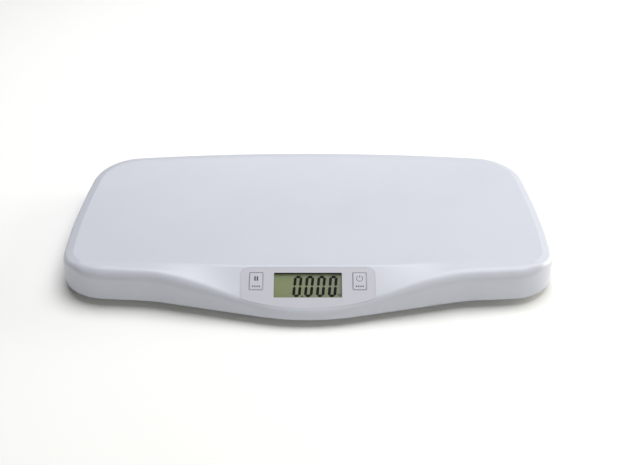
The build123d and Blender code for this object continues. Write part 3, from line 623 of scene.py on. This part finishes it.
class SCALE_OT_tray(Operator):
    """Model the moulded tray: lying surface, crest, apron, rounded rim and leaning wall"""
    bl_idname = "scale.tray"
    bl_label = "Moulded tray"

    def execute(self, context):
        tray, console = context.scene.scale_tray, context.scene.scale_console
        plan = tray_plan(tray)
        bm = bmesh.new()
        loop = self.skin(bm, [self.section(tray, *at, *out) for at, out in zip(plan, outward_normals(plan))])
        self.grid_top(bm, bm.faces.new(loop), tray, set(loop))
        bmesh.ops.recalc_face_normals(bm, faces=bm.faces)
        bmesh.ops.solidify(bm, geom=bm.faces[:], thickness=tray.wall)
        bmesh.ops.recalc_face_normals(bm, faces=bm.faces)
        plastic = moulded_plastic("tray plastic", tuple(tray.tint), tray.gloss)
        piece = finish_mesh("tray", bm, plastic)
        place = console_matrix(tray)
        above, below, sharp = 0.006, -0.006, 0.0002
        lens_seat = window_plan(console, 0.002, console.lens_margin + console.film_gap)
        cut(piece, slab(film_plan(console, console.film_gap), -console.film_t, above, place))
        cut(piece, slab(lens_seat, -console.film_t - console.lens_t, 0.0, place))
        cut(piece, slab(window_plan(console, sharp), below, 0.0, place))
        for side in (-1, 1):
            cut(piece, slab(key_hole_plan(console, side), below, 0.0, place))
        # Painted shade: the tray's faces round the lens seat and the window turn near-black, standing in for
        # the recess's shade.
        piece.data.materials.append(moulded_plastic("window painted shade", tuple(console.window_painted_shade), 0.7))
        flat = place.inverted()
        low, high = -console.film_t - console.lens_t - tray.wall, -console.film_t - console.lens_t / 2
        for face in piece.data.polygons:
            at = flat @ face.center
            if near_window(console, at, console.lens_margin) and low < at.z < high:
                face.material_index = 1
        piece.data.shade_smooth()
        piece.data.set_sharp_from_angle(angle=radians(35))
        seat(piece, "scale", "tray_plastic", "tray_shell")
        return {"FINISHED"}

    @staticmethod
    def section(tray, x, y, nx, ny):
        """The outer section at a point of the outline, from the lower edge up to the rim's crease.

        Along the sides and the back the rounding ends in a flat band that falls outwards. Along the front the
        band fades out, and on the front's shoulders the rounding is broader.
        """
        console_reach, reach_fade = 0.080, 0.050
        front_facing, facing_fade = 0.80, 0.15
        band_fade, crease_off, crisp = 0.010, 0.0009, 0.0004
        wall_rows, bend_rows = 6, 12
        lean, edge, step = tan(tray.draft), tray.foot_edge_r, 0.0005
        beside, facing = (abs(x) - console_reach) / reach_fade, (-ny - front_facing) / facing_fade
        front = eased(clamped(beside) * clamped(facing))
        rim = tray.rim_r + (tray.flank_r - tray.rim_r) * front
        inset = (tray_top(tray, x, y) - rim - tray.bottom_z) * lean
        cx, cy = x - nx * (inset + rim), y - ny * (inset + rim)
        slope_x = (tray_top(tray, cx + step, cy) - tray_top(tray, cx - step, cy)) / (2 * step)
        slope_y = (tray_top(tray, cx, cy + step) - tray_top(tray, cx, cy - step)) / (2 * step)
        fall = atan(slope_x * nx + slope_y * ny)
        share = eased((cy - crest_line(tray, cx) + band_fade / 2) / band_fade)
        tilt = fall - tray.band_fall * share
        bend = rim + (tray.band_r - rim) * share
        width = rim * (1 + sin(fall)) + crease_off + tray.band_w * share
        crease_x, crease_y = x - nx * (inset + width), y - ny * (inset + width)
        crease_z = tray_top(tray, crease_x, crease_y)
        centre_z = crease_z + (width - bend) * tan(tilt) - bend / cos(tilt)

        def inwards(distance, z):
            """A point this far inside the outline, at a height."""
            return x - nx * distance, y - ny * distance, z

        column = [inwards(edge * (1 - sin(a)), tray.bottom_z + edge * (1 - cos(a)))
                  for a in (0, pi / 6, pi / 3, pi / 2)]
        wall_foot_z = tray.bottom_z + edge
        for k in range(1, wall_rows + 1):
            z = wall_foot_z + (centre_z - wall_foot_z) * k / wall_rows
            column.append(inwards((z - tray.bottom_z) * lean, z))
        base = (centre_z - tray.bottom_z) * lean
        for k in range(1, bend_rows + 1):
            a = (pi / 2 + tilt) * k / bend_rows
            column.append(inwards(base + bend * (1 - cos(a)), centre_z + bend * sin(a)))
        column.append((crease_x + nx * crisp, crease_y + ny * crisp, crease_z + crisp * tan(tilt)))
        column.append((crease_x, crease_y, crease_z))
        inner_x, inner_y = crease_x - nx * crisp, crease_y - ny * crisp
        column.append((inner_x, inner_y, tray_top(tray, inner_x, inner_y)))
        return column

    @staticmethod
    def skin(bm, sections):
        """Draw a ring of edges up through all the sections, level by level, and return the last ring."""
        count = len(sections)
        loop = [bm.verts.new(section[0]) for section in sections]
        edges = [bm.edges.new((loop[k], loop[(k + 1) % count])) for k in range(count)]
        for level in range(1, len(sections[0])):
            grown = bmesh.ops.extrude_edge_only(bm, edges=edges)["geom"]
            fresh = {v for v in grown if isinstance(v, bmesh.types.BMVert)}
            loop = [next(e.other_vert(v) for e in v.link_edges if e.other_vert(v) in fresh) for v in loop]
            for v, section in zip(loop, sections):
                v.co = section[level]
            edges = [g for g in grown if isinstance(g, bmesh.types.BMEdge) and set(g.verts) <= fresh]
        return loop

    @staticmethod
    def grid_top(bm, top, tray, rim_verts):
        """Cut the flat top face into a grid, finer at the crest, and lift it to the tray's shape."""
        geom = [top, *top.edges, *top.verts]
        spacing, fine = 0.005, 0.00125
        places = []
        for axis, low, high in ((0, -tray.side_mid_x, tray.side_mid_x), (1, tray.nose_y, tray.back_apex_y)):
            value = low + spacing / 2
            while value < high:
                places.append((axis, value))
                value += spacing
        value = tray.ridge_y - 2 * spacing
        while value < tray.ridge_y + 3 * spacing:
            places.append((1, value))
            value += fine
        for axis, value in places:
            plane, normal = ((value, 0, 0), (1, 0, 0)) if axis == 0 else ((0, value, 0), (0, 1, 0))
            result = bmesh.ops.bisect_plane(bm, geom=geom, dist=1e-7, plane_co=plane, plane_no=normal)
            geom = list(set(result["geom"]))
        for v in {g for g in geom if isinstance(g, bmesh.types.BMVert)} - rim_verts:
            v.co.z = tray_top(tray, v.co.x, v.co.y)


def recolour(material, *nodes):
    """Give CAD nodes a better material."""
    for node in nodes:
        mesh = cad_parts[node].data
        mesh.materials.clear()
        mesh.materials.append(material)


def lathe(profile, place, steps=48):
    """A closed solid of revolution about Z from (radius, z) points that start and end on the axis."""
    bm = bmesh.new()
    verts = [bm.verts.new((r, 0, z)) for r, z in profile]
    edges = [bm.edges.new(pair) for pair in zip(verts, verts[1:])]
    bmesh.ops.spin(bm, geom=verts + edges, cent=(0, 0, 0), axis=(0, 0, 1), angle=2 * pi, steps=steps,
                   use_merge=True)
    bmesh.ops.remove_doubles(bm, verts=bm.verts, dist=1e-6)
    bmesh.ops.recalc_face_normals(bm, faces=bm.faces)
    bmesh.ops.transform(bm, matrix=place, verts=bm.verts)
    return bm


def box(size, place, bevel=0.0):
    """A box about the origin, its edges rounded, moved by a matrix."""
    bm = bmesh.new()
    bmesh.ops.create_cube(bm, size=1.0, matrix=Matrix.Diagonal((*size, 1)))
    if bevel:
        bmesh.ops.bevel(bm, geom=bm.edges[:], offset=bevel, offset_type="OFFSET", affect="EDGES", segments=2,
                        profile=0.5, material=-1)
    bmesh.ops.transform(bm, matrix=place, verts=bm.verts)
    return bm


def join_into(target, part, matrix=None):
    """Add one bmesh to another."""
    mesh = bpy.data.meshes.new("part")
    part.to_mesh(mesh)
    part.free()
    if matrix is not None:
        mesh.transform(matrix)
    target.from_mesh(mesh)
    bpy.data.meshes.remove(mesh)


def shift(x, y, z):
    """A matrix that moves by this much."""
    return Matrix.Translation((x, y, z))


class SCALE_OT_ribs(Operator):
    """Model the ribs, the screw bosses and the display posts under the tray"""
    bl_idname = "scale.ribs"
    bl_label = "Ribs and bosses"

    def execute(self, context):
        tray, under = context.scene.scale_tray, context.scene.scale_under
        bm = bmesh.new()
        middle, sink = (tray.back_apex_y + tray.ridge_y) / 2, tray.wall / 2
        cross_reach, long_reach = 0.8 * (tray.back_apex_y - tray.ridge_y) / 2, 0.85 * tray.side_mid_x
        for k in range(-2, 3):
            x = k * under.rib_pitch_x
            top = [(x, y, tray_top(tray, x, y) - sink) for y in self.spread(middle, cross_reach)]
            self.rib(bm, top, under.rib_foot_z, (under.rib_t, 0, 0))
        for k in (-1, 0, 1):
            y = middle + k * under.rib_pitch_y
            top = [(x, y, tray_top(tray, x, y) - sink) for x in self.spread(0, long_reach)]
            self.rib(bm, top, under.rib_foot_z, (0, under.rib_t, 0))
        bore, r, foot = under.screw_d / 2, under.boss_d / 2, under.boss_z
        bore_end, chamfer = foot + 0.009, 0.0003
        for x, y in SCREWS:
            top_z = tray_top(tray, x, y) - sink
            join_into(bm, lathe([(0, bore_end), (bore, bore_end), (bore, foot), (r - chamfer, foot),
                                 (r, foot + chamfer), (r, top_z), (0, top_z)], shift(x, y, 0), 32))
        bore, r, foot = 0.0011, 0.0025, -under.board_depth
        bore_end = foot + 0.0041
        for x, down in POSTS:
            join_into(bm, lathe([(0, bore_end), (bore, bore_end), (bore, foot), (r, foot), (r, -sink),
                                 (0, -sink)], console_matrix(tray) @ shift(x, -down, 0), 24))
        bmesh.ops.recalc_face_normals(bm, faces=bm.faces)
        piece = finish_mesh("tray_ribs", bm, bpy.data.materials["tray plastic"], radians(30))
        seat(piece, "scale", "tray_plastic")
        return {"FINISHED"}

    @staticmethod
    def spread(middle, reach, steps=24):
        """Evenly spaced values to both sides of a middle."""
        return [middle - reach + 2 * reach * k / steps for k in range(steps + 1)]

    @staticmethod
    def rib(bm, top, foot_z, thick):
        """One rib under a line of points, drawn out by its thickness."""
        line = [Vector(p) - Vector(thick) / 2 for p in top]
        verts = [bm.verts.new(p) for p in line]
        verts += [bm.verts.new((line[k].x, line[k].y, foot_z)) for k in (-1, 0)]
        face = bm.faces.new(verts)
        grown = bmesh.ops.extrude_face_region(bm, geom=[face])["geom"]
        bmesh.ops.translate(bm, vec=thick, verts=[g for g in grown if isinstance(g, bmesh.types.BMVert)])


class SCALE_OT_cover(Operator):
    """Finish the bottom cover, the battery door and the unit button, and model the cover's screws"""
    bl_idname = "scale.cover"
    bl_label = "Bottom cover and screws"

    def execute(self, context):
        under = context.scene.scale_under
        plastic = moulded_plastic("cover plastic", tuple(under.cover_tint), 0.55, 1100.0, 0.00006)
        recolour(plastic, "bottom_cover", "battery_door")
        recolour(moulded_plastic("button cap", tuple(under.button_tint), 0.4, 1500.0), "unit_button")
        steel = brushed_metal("screw steel", (0.62, 0.61, 0.58), 0.32)
        back = console_matrix(context.scene.scale_tray, under.board_depth + under.board_t)
        big = (under.head_d / 2, under.head_h, under.screw_d / 2, under.screw_len, 11, 0.00035)
        small_head_h = 0.0016
        small = (0.0023, small_head_h, 0.0011, 0.0052, 6, 0.0002)
        for name, sizes, places in (
                ("cover_screw", big, [shift(x, y, under.head_z) for x, y in SCREWS]),
                ("board_screw", small, [back @ shift(x, -down, -small_head_h) for x, down in POSTS])):
            bm = bmesh.new()
            for place in places:
                join_into(bm, self.screw(*sizes), place)
            seat(finish_mesh(f"{name}_set", bm, steel, radians(35)), "scale", "steel_screw", f"{name}s")
        return {"FINISHED"}

    @staticmethod
    def screw(head_r, head_h, r, shank, turns, depth):
        """A pan-head screw that points up: domed head with a cross recess, ringed shank and a blunt tip."""
        profile = [(0, 0), (head_r * 0.55, 0.00008), (head_r * 0.85, 0.0004), (head_r, 0.0009),
                   (head_r, head_h), (r, head_h)]
        tip = 0.0008
        pitch = (shank - tip) / turns
        for k in range(turns):
            z = head_h + pitch * k
            profile += [(r, z + 0.25 * pitch), (r - depth, z + 0.65 * pitch), (r, z + pitch)]
        profile += [(r * 0.5, head_h + shank), (0, head_h + shank)]
        bm = lathe(profile, Matrix.Identity(4), 32)
        mesh = bpy.data.meshes.new("screw")
        bm.to_mesh(mesh)
        bm.free()
        blank = bpy.data.objects.new("screw", mesh)
        bpy.context.scene.collection.objects.link(blank)
        long, wide, deep = head_r * 1.15, head_r * 0.26, head_h * 1.3
        for size in ((long, wide, deep), (wide, long, deep)):
            cut(blank, box(size, Matrix.Identity(4)))
        made = bmesh.new()
        made.from_mesh(blank.data)
        old = blank.data
        bpy.data.objects.remove(blank)
        bpy.data.meshes.remove(old)
        return made


class SCALE_OT_feet(Operator):
    """Model the grooved rubber pads, finish the cups and the load cells, and model the gauges and their
    sealant
    """
    bl_idname = "scale.feet"
    bl_label = "Weighing feet"

    def execute(self, context):
        under = context.scene.scale_under
        soft = rubber("foot rubber", tuple(under.rubber_tint))
        cup_plastic = moulded_plastic("cup plastic", tuple(under.cup_tint), 0.5, 1100.0, 0.00004)
        cell_steel = brushed_metal("cell steel", (0.56, 0.56, 0.54), 0.34, (900, 40, 40))
        gauge_film = moulded_plastic("gauge film", (0.60, 0.34, 0.06), 0.3, 2500.0)
        glue = moulded_plastic("gauge sealant", (0.78, 0.78, 0.74), 0.35, 300.0, 0.0001)
        r, t = under.pad_d / 2, under.pad_t
        groove_d, groove_w, flank, edge, knee = 0.0005, 0.0016, 0.0003, 0.0009, 0.00026
        profile = [(0, 0)]
        for ring in (0.0045, 0.0080, 0.0115):
            end = ring + groove_w
            profile += [(ring, 0), (ring + flank, groove_d), (end - flank, groove_d), (end, 0)]
        profile += [(r - edge, 0), (r - knee, knee), (r, edge), (r, t - flank), (r - flank, t), (0, t)]
        gauge_size, gauge_off = (0.0060, 0.0035, 0.0001), 0.0080
        blob_size, blob_sink = (0.0042, 0.0028, 0.0005), 0.00002
        for corner, (x, y) in FEET.items():
            body = f"foot_{corner}"
            pad = finish_mesh(f"rubber_pad_{corner}", lathe(profile, shift(x, y, 0), 64), soft, radians(40))
            seat(pad, body, "foot_rubber", f"foot_pad_{corner}")
            recolour(cup_plastic, f"foot_cup_{corner}", f"load_cell_cap_{corner}")
            recolour(cell_steel, f"load_cell_{corner}")
            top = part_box(f"load_cell_{corner}")[1][2]
            place = shift(x, y - gauge_off, top + gauge_size[2] / 2)
            gauge = finish_mesh(f"gauge_{corner}", box(gauge_size, place), gauge_film)
            seat(gauge, body, "load_cell_steel")
            blob = bmesh.new()
            bmesh.ops.create_uvsphere(blob, u_segments=20, v_segments=10, radius=1.0)
            bmesh.ops.bisect_plane(blob, geom=blob.verts[:] + blob.edges[:] + blob.faces[:],
                                   plane_co=(0, 0, 0), plane_no=(0, 0, 1), clear_inner=True)
            bmesh.ops.holes_fill(blob, edges=[e for e in blob.edges if e.is_boundary])
            bmesh.ops.scale(blob, vec=blob_size, verts=blob.verts)
            blob_foot = (x, y - gauge_off, top + gauge_size[2] - blob_sink)
            bmesh.ops.translate(blob, vec=blob_foot, verts=blob.verts)
            bmesh.ops.recalc_face_normals(blob, faces=blob.faces)
            seal = finish_mesh(f"sealant_{corner}", blob, glue, radians(60))
            seat(seal, body, "load_cell_steel")
        return {"FINISHED"}


class SCALE_OT_power(Operator):
    """Model the sleeved battery cells and finish their contacts"""
    bl_idname = "scale.power"
    bl_label = "Battery cells"

    def execute(self, context):
        under = context.scene.scale_under
        recolour(brushed_metal("spring steel", (0.72, 0.71, 0.68), 0.26), "battery_contacts")
        sleeve = moulded_plastic("cell sleeve", tuple(under.sleeve_tint), 0.28, 1500.0, coat=0.4)
        band = moulded_plastic("cell band", (0.55, 0.56, 0.58), 0.3, 1500.0, coat=0.4)
        metal = brushed_metal("cell can", (0.66, 0.65, 0.62), 0.3)
        band_end, sleeve_foot, bare_rim = 0.0130, 0.0060, 0.0008
        rim, rim_h, nub_r, nub_h, edge = 0.0018, 0.0003, 0.0019, 0.0010, 0.0006
        for number in range(1, 5):
            node = f"battery_{number}"
            (x0, y0, z0), (x1, y1, z1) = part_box(node)
            y, z, r, size = (y0 + y1) / 2, (z0 + z1) / 2, (y1 - y0) / 2, x1 - x0
            profile = [(0, 0), (r - rim - 0.0004, 0), (r - rim, rim_h), (r - edge, rim_h), (r, rim_h + edge),
                       (r, sleeve_foot), (r, size - band_end), (r, size - nub_h - rim_h - edge),
                       (r - edge, size - nub_h - rim_h), (nub_r + 0.0005, size - nub_h),
                       (nub_r, size - nub_h), (nub_r, size - rim_h), (nub_r - rim_h, size), (0, size)]
            end = 1 if number % 2 else -1
            foot_x = x0 if end > 0 else x1
            bm = lathe(profile, shift(foot_x, y, z) @ Matrix.Rotation(end * pi / 2, 4, "Y"), 40)
            cell = finish_mesh(f"cell_{number}", bm, sleeve, radians(35))
            cell.data.materials.append(band)
            cell.data.materials.append(metal)
            for face in cell.data.polygons:
                if hypot(face.center.y - y, face.center.z - z) < r - bare_rim:
                    face.material_index = 2
                elif abs(face.center.x - foot_x) > size - band_end:
                    face.material_index = 1
            seat(cell, "scale", "battery_sleeve", node)
        return {"FINISHED"}


class SCALE_OT_boards(Operator):
    """Finish the boards, leads and switches, and model the small parts soldered to the main board"""
    bl_idname = "scale.boards"
    bl_label = "Boards and leads"

    def execute(self, context):
        tray, under = context.scene.scale_tray, context.scene.scale_under
        recolour(circuit_laminate("board laminate"), "main_board", "unit_board")
        recolour(rubber("strip rubber", (0.10, 0.035, 0.08)), "contact_strips")
        inner = moulded_plastic("inner plastic", (0.60, 0.60, 0.58), 0.5, 900.0, 0.00004)
        recolour(inner, "lcd_holder", "hold_plunger", "tare_plunger")
        black = moulded_plastic("switch body", (0.02, 0.02, 0.022), 0.45, 1500.0)
        recolour(black, "hold_switch", "tare_switch", "unit_switch", "buzzer", "controller_chip")
        recolour(rubber("lead sheath", (0.12, 0.12, 0.13)), "cell_leads")
        recolour(rubber("battery lead sheath", (0.30, 0.02, 0.02)), "battery_leads")
        recolour(rubber("button lead sheath", (0.35, 0.35, 0.33)), "unit_lead")
        solder = brushed_metal("solder", (0.70, 0.70, 0.68), 0.35)
        back = console_matrix(tray, under.board_depth + under.board_t)
        chips, ends = bmesh.new(), bmesh.new()
        long, wide, chip_h = 0.0020, 0.0012, 0.0006
        end_w, end_h, end_off, soft = 0.0006, 0.0005, 0.0011, 0.0001
        # Across and up the board's slope in millimetres, and whether the chip stands along the slope
        places = [(-56 + 7.5 * k, -14 - 5 * (k % 3), k % 2) for k in range(16) if not 4 < k < 10]
        places += [(-30 + 8 * k, -38, 1) for k in range(4)]
        for x, y, upright in places:
            turn = Matrix.Rotation(pi / 2, 4, "Z") if upright else Matrix.Identity(4)
            chip = back @ shift(x * MM, y * MM, 0) @ turn
            join_into(chips, box((long, wide, chip_h), chip @ shift(0, 0, -chip_h / 2), soft))
            for side in (-1, 1):
                join_into(ends, box((end_w, wide, end_h), chip @ shift(side * end_off, 0, -end_h / 2), soft))
        joint = [(0, -0.0003), (0.0009, -0.0002), (0.0014, 0.0), (0, 0.0)]
        joints_y = -0.0098
        for x in (-0.052, -0.040, -0.028, -0.008, 0.008, 0.040, 0.052):
            join_into(ends, lathe(joint, back @ shift(x, joints_y, 0.0), 16))
        parts = finish_mesh("board_chips", chips, black, radians(40))
        seat(parts, "scale", "circuit_board")
        joints = finish_mesh("board_solder", ends, solder, radians(40))
        seat(joints, "scale", "circuit_board")
        return {"FINISHED"}


class SCALE_OT_console(Operator):
    """Dress the console: printed faceplate, lens, display with its segments, keys with their marks"""
    bl_idname = "scale.console"
    bl_label = "Console"

    def execute(self, context):
        tray, console = context.scene.scale_tray, context.scene.scale_console
        place = console_matrix(tray)
        above, below, corner, margin = 0.003, -0.006, 0.0006, 0.0002
        print_film = moulded_plastic("faceplate film", tuple(console.film_tint), 0.42, 1600.0, 0.00001,
                                     mottle=0.006, specular=0.3)
        sheet = slab(film_plan(console), -console.film_t, 0.0, place)
        film = finish_mesh("printed_faceplate", sheet, print_film)
        cut(film, slab(window_plan(console, corner), below, above, place))
        # Painted shade: the faceplate's cut edges round the window turn near-black as well.
        film.data.materials.append(bpy.data.materials["window painted shade"])
        flat = place.inverted()
        for face in film.data.polygons:
            upright = abs((flat.to_3x3() @ face.normal).z) < 0.5
            if upright and near_window(console, flat @ face.center, margin):
                face.material_index = 1
        for side in (-1, 1):
            cut(film, slab(key_hole_plan(console, side), below, above, place))
        seat(film, "scale", "faceplate_film", "faceplate")
        recolour(clear_lens("display lens"), "display_lens")
        glass = display_glass("display glass", tuple(console.lcd_tint), tuple(console.lcd_painted_light))
        recolour(glass, "lcd_glass")
        key_plastic = moulded_plastic("key cap", tuple(console.key_tint), 0.42, 1500.0, 0.00001,
                                      mottle=0.006, specular=0.3)
        recolour(key_plastic, "hold_key", "tare_key")
        ink = moulded_plastic("ink", tuple(console.ink), 0.5, 2000.0, 0.000005)
        self.marks(console, place, ink)
        self.segments(console, place)
        return {"FINISHED"}

    @staticmethod
    def marks(console, place, ink):
        """Thin printed frames round both keys, and a generic mark on each."""
        print_sink, above, below = 0.00002, 0.003, -0.001
        low, high = console.key_proud - print_sink, console.key_proud + console.print_t
        stroke_w, stroke_h, stroke_pitch, label_down = 0.0013, 0.0019, 0.0023, 0.0092
        bar_w, bar_h, bar_off = 0.0017, 0.0052, 0.00125
        ring_r, ring_line, ring_opening = 0.0032, 0.0006, radians(70)
        pointer_h, pointer_up = 0.0030, 0.0024
        y, inset = -console.key_y, console.frame_inset + console.frame_line
        mark_y = y + 0.0030
        for side, name, body in ((-1, "left", "hold_key"), (1, "right", "tare_key")):
            x, w, h = side * console.key_x, console.key_w, console.key_h
            outer = rounded_rectangle(x, y, w - 2 * console.frame_inset, h - 2 * console.frame_inset,
                                      console.key_r - console.frame_inset)
            inner = rounded_rectangle(x, y, w - 2 * inset, h - 2 * inset, console.key_r - inset)
            line = finish_mesh(f"{name}_key_frame", slab(outer, low, high, place), ink)
            cut(line, slab(inner, below, above, place))
            seat(line, body, "key_plastic")

        def patch(bm, x, y, w, h, r=0.0002):
            """A printed bar about a place on the keys."""
            join_into(bm, slab(rounded_rectangle(x, y, w, h, r, 2), low, high, place))

        def label(bm, x):
            """Four plain strokes in a row, where a key carries its name."""
            for k in range(4):
                patch(bm, x + (k - 1.5) * stroke_pitch, mark_y - label_down, stroke_w, stroke_h)

        x = console.key_x
        bm = bmesh.new()
        for side in (-1, 1):
            patch(bm, -x + side * bar_off, mark_y, bar_w, bar_h)
        label(bm, -x)
        seat(finish_mesh("left_key_mark", bm, ink), "hold_key", "key_plastic")
        bm = bmesh.new()
        thick = console.print_t + print_sink
        flake = Matrix.Diagonal((ring_line, 0.00001, thick, 1))
        bmesh.ops.create_cube(bm, size=1.0, matrix=shift(ring_r, 0, 0) @ flake)
        bmesh.ops.delete(bm, geom=[f for f in bm.faces if f.normal.y > -0.5], context="FACES")
        bmesh.ops.transform(bm, matrix=Matrix.Rotation(pi / 2 + ring_opening / 2, 4, "Z"), verts=bm.verts)
        bmesh.ops.spin(bm, geom=bm.faces[:] + bm.edges[:] + bm.verts[:], cent=(0, 0, 0), axis=(0, 0, 1),
                       angle=2 * pi - ring_opening, steps=36)
        bmesh.ops.remove_doubles(bm, verts=bm.verts, dist=1e-7)
        bmesh.ops.holes_fill(bm, edges=[e for e in bm.edges if e.is_boundary])
        bmesh.ops.recalc_face_normals(bm, faces=bm.faces)
        bmesh.ops.transform(bm, matrix=place @ shift(x, mark_y, (low + high) / 2), verts=bm.verts)
        patch(bm, x, mark_y + pointer_up, ring_line, pointer_h, 0.0001)
        label(bm, x)
        seat(finish_mesh("right_key_mark", bm, ink), "tare_key", "key_plastic")

    @staticmethod
    def segments(console, place):
        """Seven-segment figures on the glass: four noughts, a point and a small unit."""
        ink = moulded_plastic("segment ink", tuple(console.segment_ink), 0.5, 2000.0, 0.0, specular=0.05)
        half, gap, tip = console.stroke / 2, 0.00022, 0.475 * console.stroke
        low, high = -console.glass_depth, -console.glass_depth + console.print_t
        top_y, low_y = -console.digit_top, -console.digit_bottom
        mid_y = (top_y + low_y) / 2
        bm = bmesh.new()

        def bar(ax, ay, bx, by, base):
            """A pointed bar from a to b, as segments of a display have."""
            ux, uy = (bx - ax), (by - ay)
            size = hypot(ux, uy)
            ux, uy = ux / size, uy / size
            ax, ay, bx, by = ax + ux * gap, ay + uy * gap, bx - ux * gap, by - uy * gap
            points = [(ax, ay), (ax + ux * tip + uy * half, ay + uy * tip - ux * half),
                      (bx - ux * tip + uy * half, by - uy * tip - ux * half), (bx, by),
                      (bx - ux * tip - uy * half, by - uy * tip + ux * half),
                      (ax + ux * tip - uy * half, ay + uy * tip + ux * half)]
            leant = [(x + (y - low_y) * console.slant + base, y) for x, y in points]
            join_into(bm, slab(leant, low, high, place))

        wide = console.digit_w - console.stroke
        for k in range(4):
            base = console.digits_left + k * console.digit_pitch + half
            y0, y1 = low_y + half, top_y - half
            bar(0, y1, wide, y1, base)
            bar(0, y0, wide, y0, base)
            for x in (0, wide):
                bar(x, mid_y, x, y1, base)
                bar(x, y0, x, mid_y, base)
        dot, dot_r, dot_off = 0.0016, 0.0003, 0.0001
        dot_x = console.digits_left + (console.digit_w + console.digit_pitch) / 2 + dot_off
        join_into(bm, slab(rounded_rectangle(dot_x, low_y + dot / 2, dot, dot, dot_r, 3), low, high, place))
        seat(finish_mesh("display_figures", bm, ink), "scale", "lcd")
        text = bpy.data.curves.new("unit", "FONT")
        text.body, text.size, text.extrude = "kg", console.unit_size, console.print_t / 2
        letters = bpy.data.objects.new("unit", text)
        bpy.context.scene.collection.objects.link(letters)
        graph = bpy.context.evaluated_depsgraph_get()
        mesh = bpy.data.meshes.new_from_object(letters.evaluated_get(graph))
        bpy.data.objects.remove(letters)
        bm = bmesh.new()
        bm.from_mesh(mesh)
        bmesh.ops.remove_doubles(bm, verts=bm.verts, dist=1e-7)
        bmesh.ops.recalc_face_normals(bm, faces=bm.faces)
        foot = shift(console.unit_left, low_y + console.unit_lift, (low + high) / 2)
        bmesh.ops.transform(bm, matrix=place @ foot, verts=bm.verts)
        seat(finish_mesh("display_unit", bm, ink), "scale", "lcd")


class SCALE_OT_stage(Operator):
    """Set the pale floor, the soft lights and the camera"""
    bl_idname = "scale.stage"
    bl_label = "Stage"

    def execute(self, context):
        stage = context.scene.scale_stage
        white, nodes, links, shader = mat_tree("floor")
        space = texture_space(nodes, links)
        links.new(ramp(nodes, links, noise(nodes, links, space, 3.0), grey(0.93), grey(0.95)),
                  shader.inputs["Base Color"])
        shader.inputs["Roughness"].default_value = 0.9
        floor_half, floor_below, left_glow = 6.0, 0.00005, 0.02
        bm = bmesh.new()
        bmesh.ops.create_grid(bm, x_segments=1, y_segments=1, size=floor_half,
                              matrix=shift(0, 0, -floor_below))
        floor = finish_mesh("floor", bm, white)
        camera_data = bpy.data.cameras.new("camera")
        camera_data.lens, camera_data.sensor_width = stage.lens, 36.0
        camera_data.clip_start = 0.01
        camera = bpy.data.objects.new("camera", camera_data)
        camera.location = (stage.camera_x, stage.camera_y, stage.camera_z)
        camera.rotation_euler = (pi / 2 - stage.pitch, 0, 0)
        context.scene.collection.objects.link(camera)
        context.scene.camera = camera
        aim = Vector((0, 0, 0.03))
        for name, where, size, watts, tint in (
                ("right_light", (1.65, 0.70, 0.45), (1.4, 0.7), stage.right_power, (1.0, 0.965, 0.83)),
                ("top_light", (0.3, 0.6, 2.1), (2.6, 1.8), stage.top_power, (1.0, 1.0, 1.0)),
                ("front_light", (0.5, -2.0, 1.15), (2.4, 1.0), stage.front_power, (1.0, 0.99, 0.86))):
            lamp = bpy.data.lights.new(name, "AREA")
            lamp.color = tint
            lamp.shape, lamp.size, lamp.size_y, lamp.energy = "RECTANGLE", *size, watts
            light = bpy.data.objects.new(name, lamp)
            light.location = where
            light.rotation_euler = (aim - Vector(where)).to_track_quat("-Z", "Y").to_euler()
            context.scene.collection.objects.link(light)
        room = bpy.data.worlds.new("room")
        room.use_nodes = True
        nodes, links = room.node_tree.nodes, room.node_tree.links
        nodes["Background"].inputs["Color"].default_value = (1.0, 1.0, 1.0, 1)
        toward = nodes.new("ShaderNodeSeparateXYZ")
        links.new(nodes.new("ShaderNodeTexCoord").outputs["Object"], toward.inputs["Vector"])
        fade = nodes.new("ShaderNodeMapRange")
        fade.inputs["From Min"].default_value = -1.0
        fade.inputs["To Min"].default_value = left_glow
        fade.inputs["To Max"].default_value = stage.world
        links.new(toward.outputs["X"], fade.inputs["Value"])
        links.new(fade.outputs["Result"], nodes["Background"].inputs["Strength"])
        context.scene.world = room
        context.scene.view_settings.view_transform = "Standard"
        return {"FINISHED"}


class SCALE_PT_panel(Panel):
    """Lists the steps that dress the scale"""
    bl_label = "Baby scale"
    bl_idname = "SCALE_PT_panel"
    bl_space_type = "VIEW_3D"
    bl_region_type = "UI"
    bl_category = "Scale"

    def draw(self, context):
        for step in STEPS:
            self.layout.operator(step.bl_idname)
        for group in ("scale_tray", "scale_console", "scale_under", "scale_stage"):
            pane = self.layout.box()
            settings = getattr(context.scene, group)
            for name in settings.__annotations__:
                pane.prop(settings, name)


STEPS = (SCALE_OT_tray, SCALE_OT_ribs, SCALE_OT_console, SCALE_OT_cover, SCALE_OT_feet, SCALE_OT_power,
         SCALE_OT_boards, SCALE_OT_stage)
GROUPS = (("scale_tray", TraySettings), ("scale_console", ConsoleSettings),
          ("scale_under", UndersideSettings), ("scale_stage", StageSettings))


def register():
    """Register the groups of sizes, the steps and the panel."""
    for name, group in GROUPS:
        bpy.utils.register_class(group)
        setattr(bpy.types.Scene, name, PointerProperty(type=group))
    for step in STEPS:
        bpy.utils.register_class(step)
    bpy.utils.register_class(SCALE_PT_panel)


def unregister():
    """Undo register."""
    bpy.utils.unregister_class(SCALE_PT_panel)
    for step in reversed(STEPS):
        bpy.utils.unregister_class(step)
    for name, group in reversed(GROUPS):
        delattr(bpy.types.Scene, name)
        bpy.utils.unregister_class(group)


def main():
    """Register, then run the steps in order."""
    register()
    bpy.ops.scale.tray()
    bpy.ops.scale.ribs()
    bpy.ops.scale.console()
    bpy.ops.scale.cover()
    bpy.ops.scale.feet()
    bpy.ops.scale.power()
    bpy.ops.scale.boards()
    bpy.ops.scale.stage()


if __name__ == "__main__":
    main()
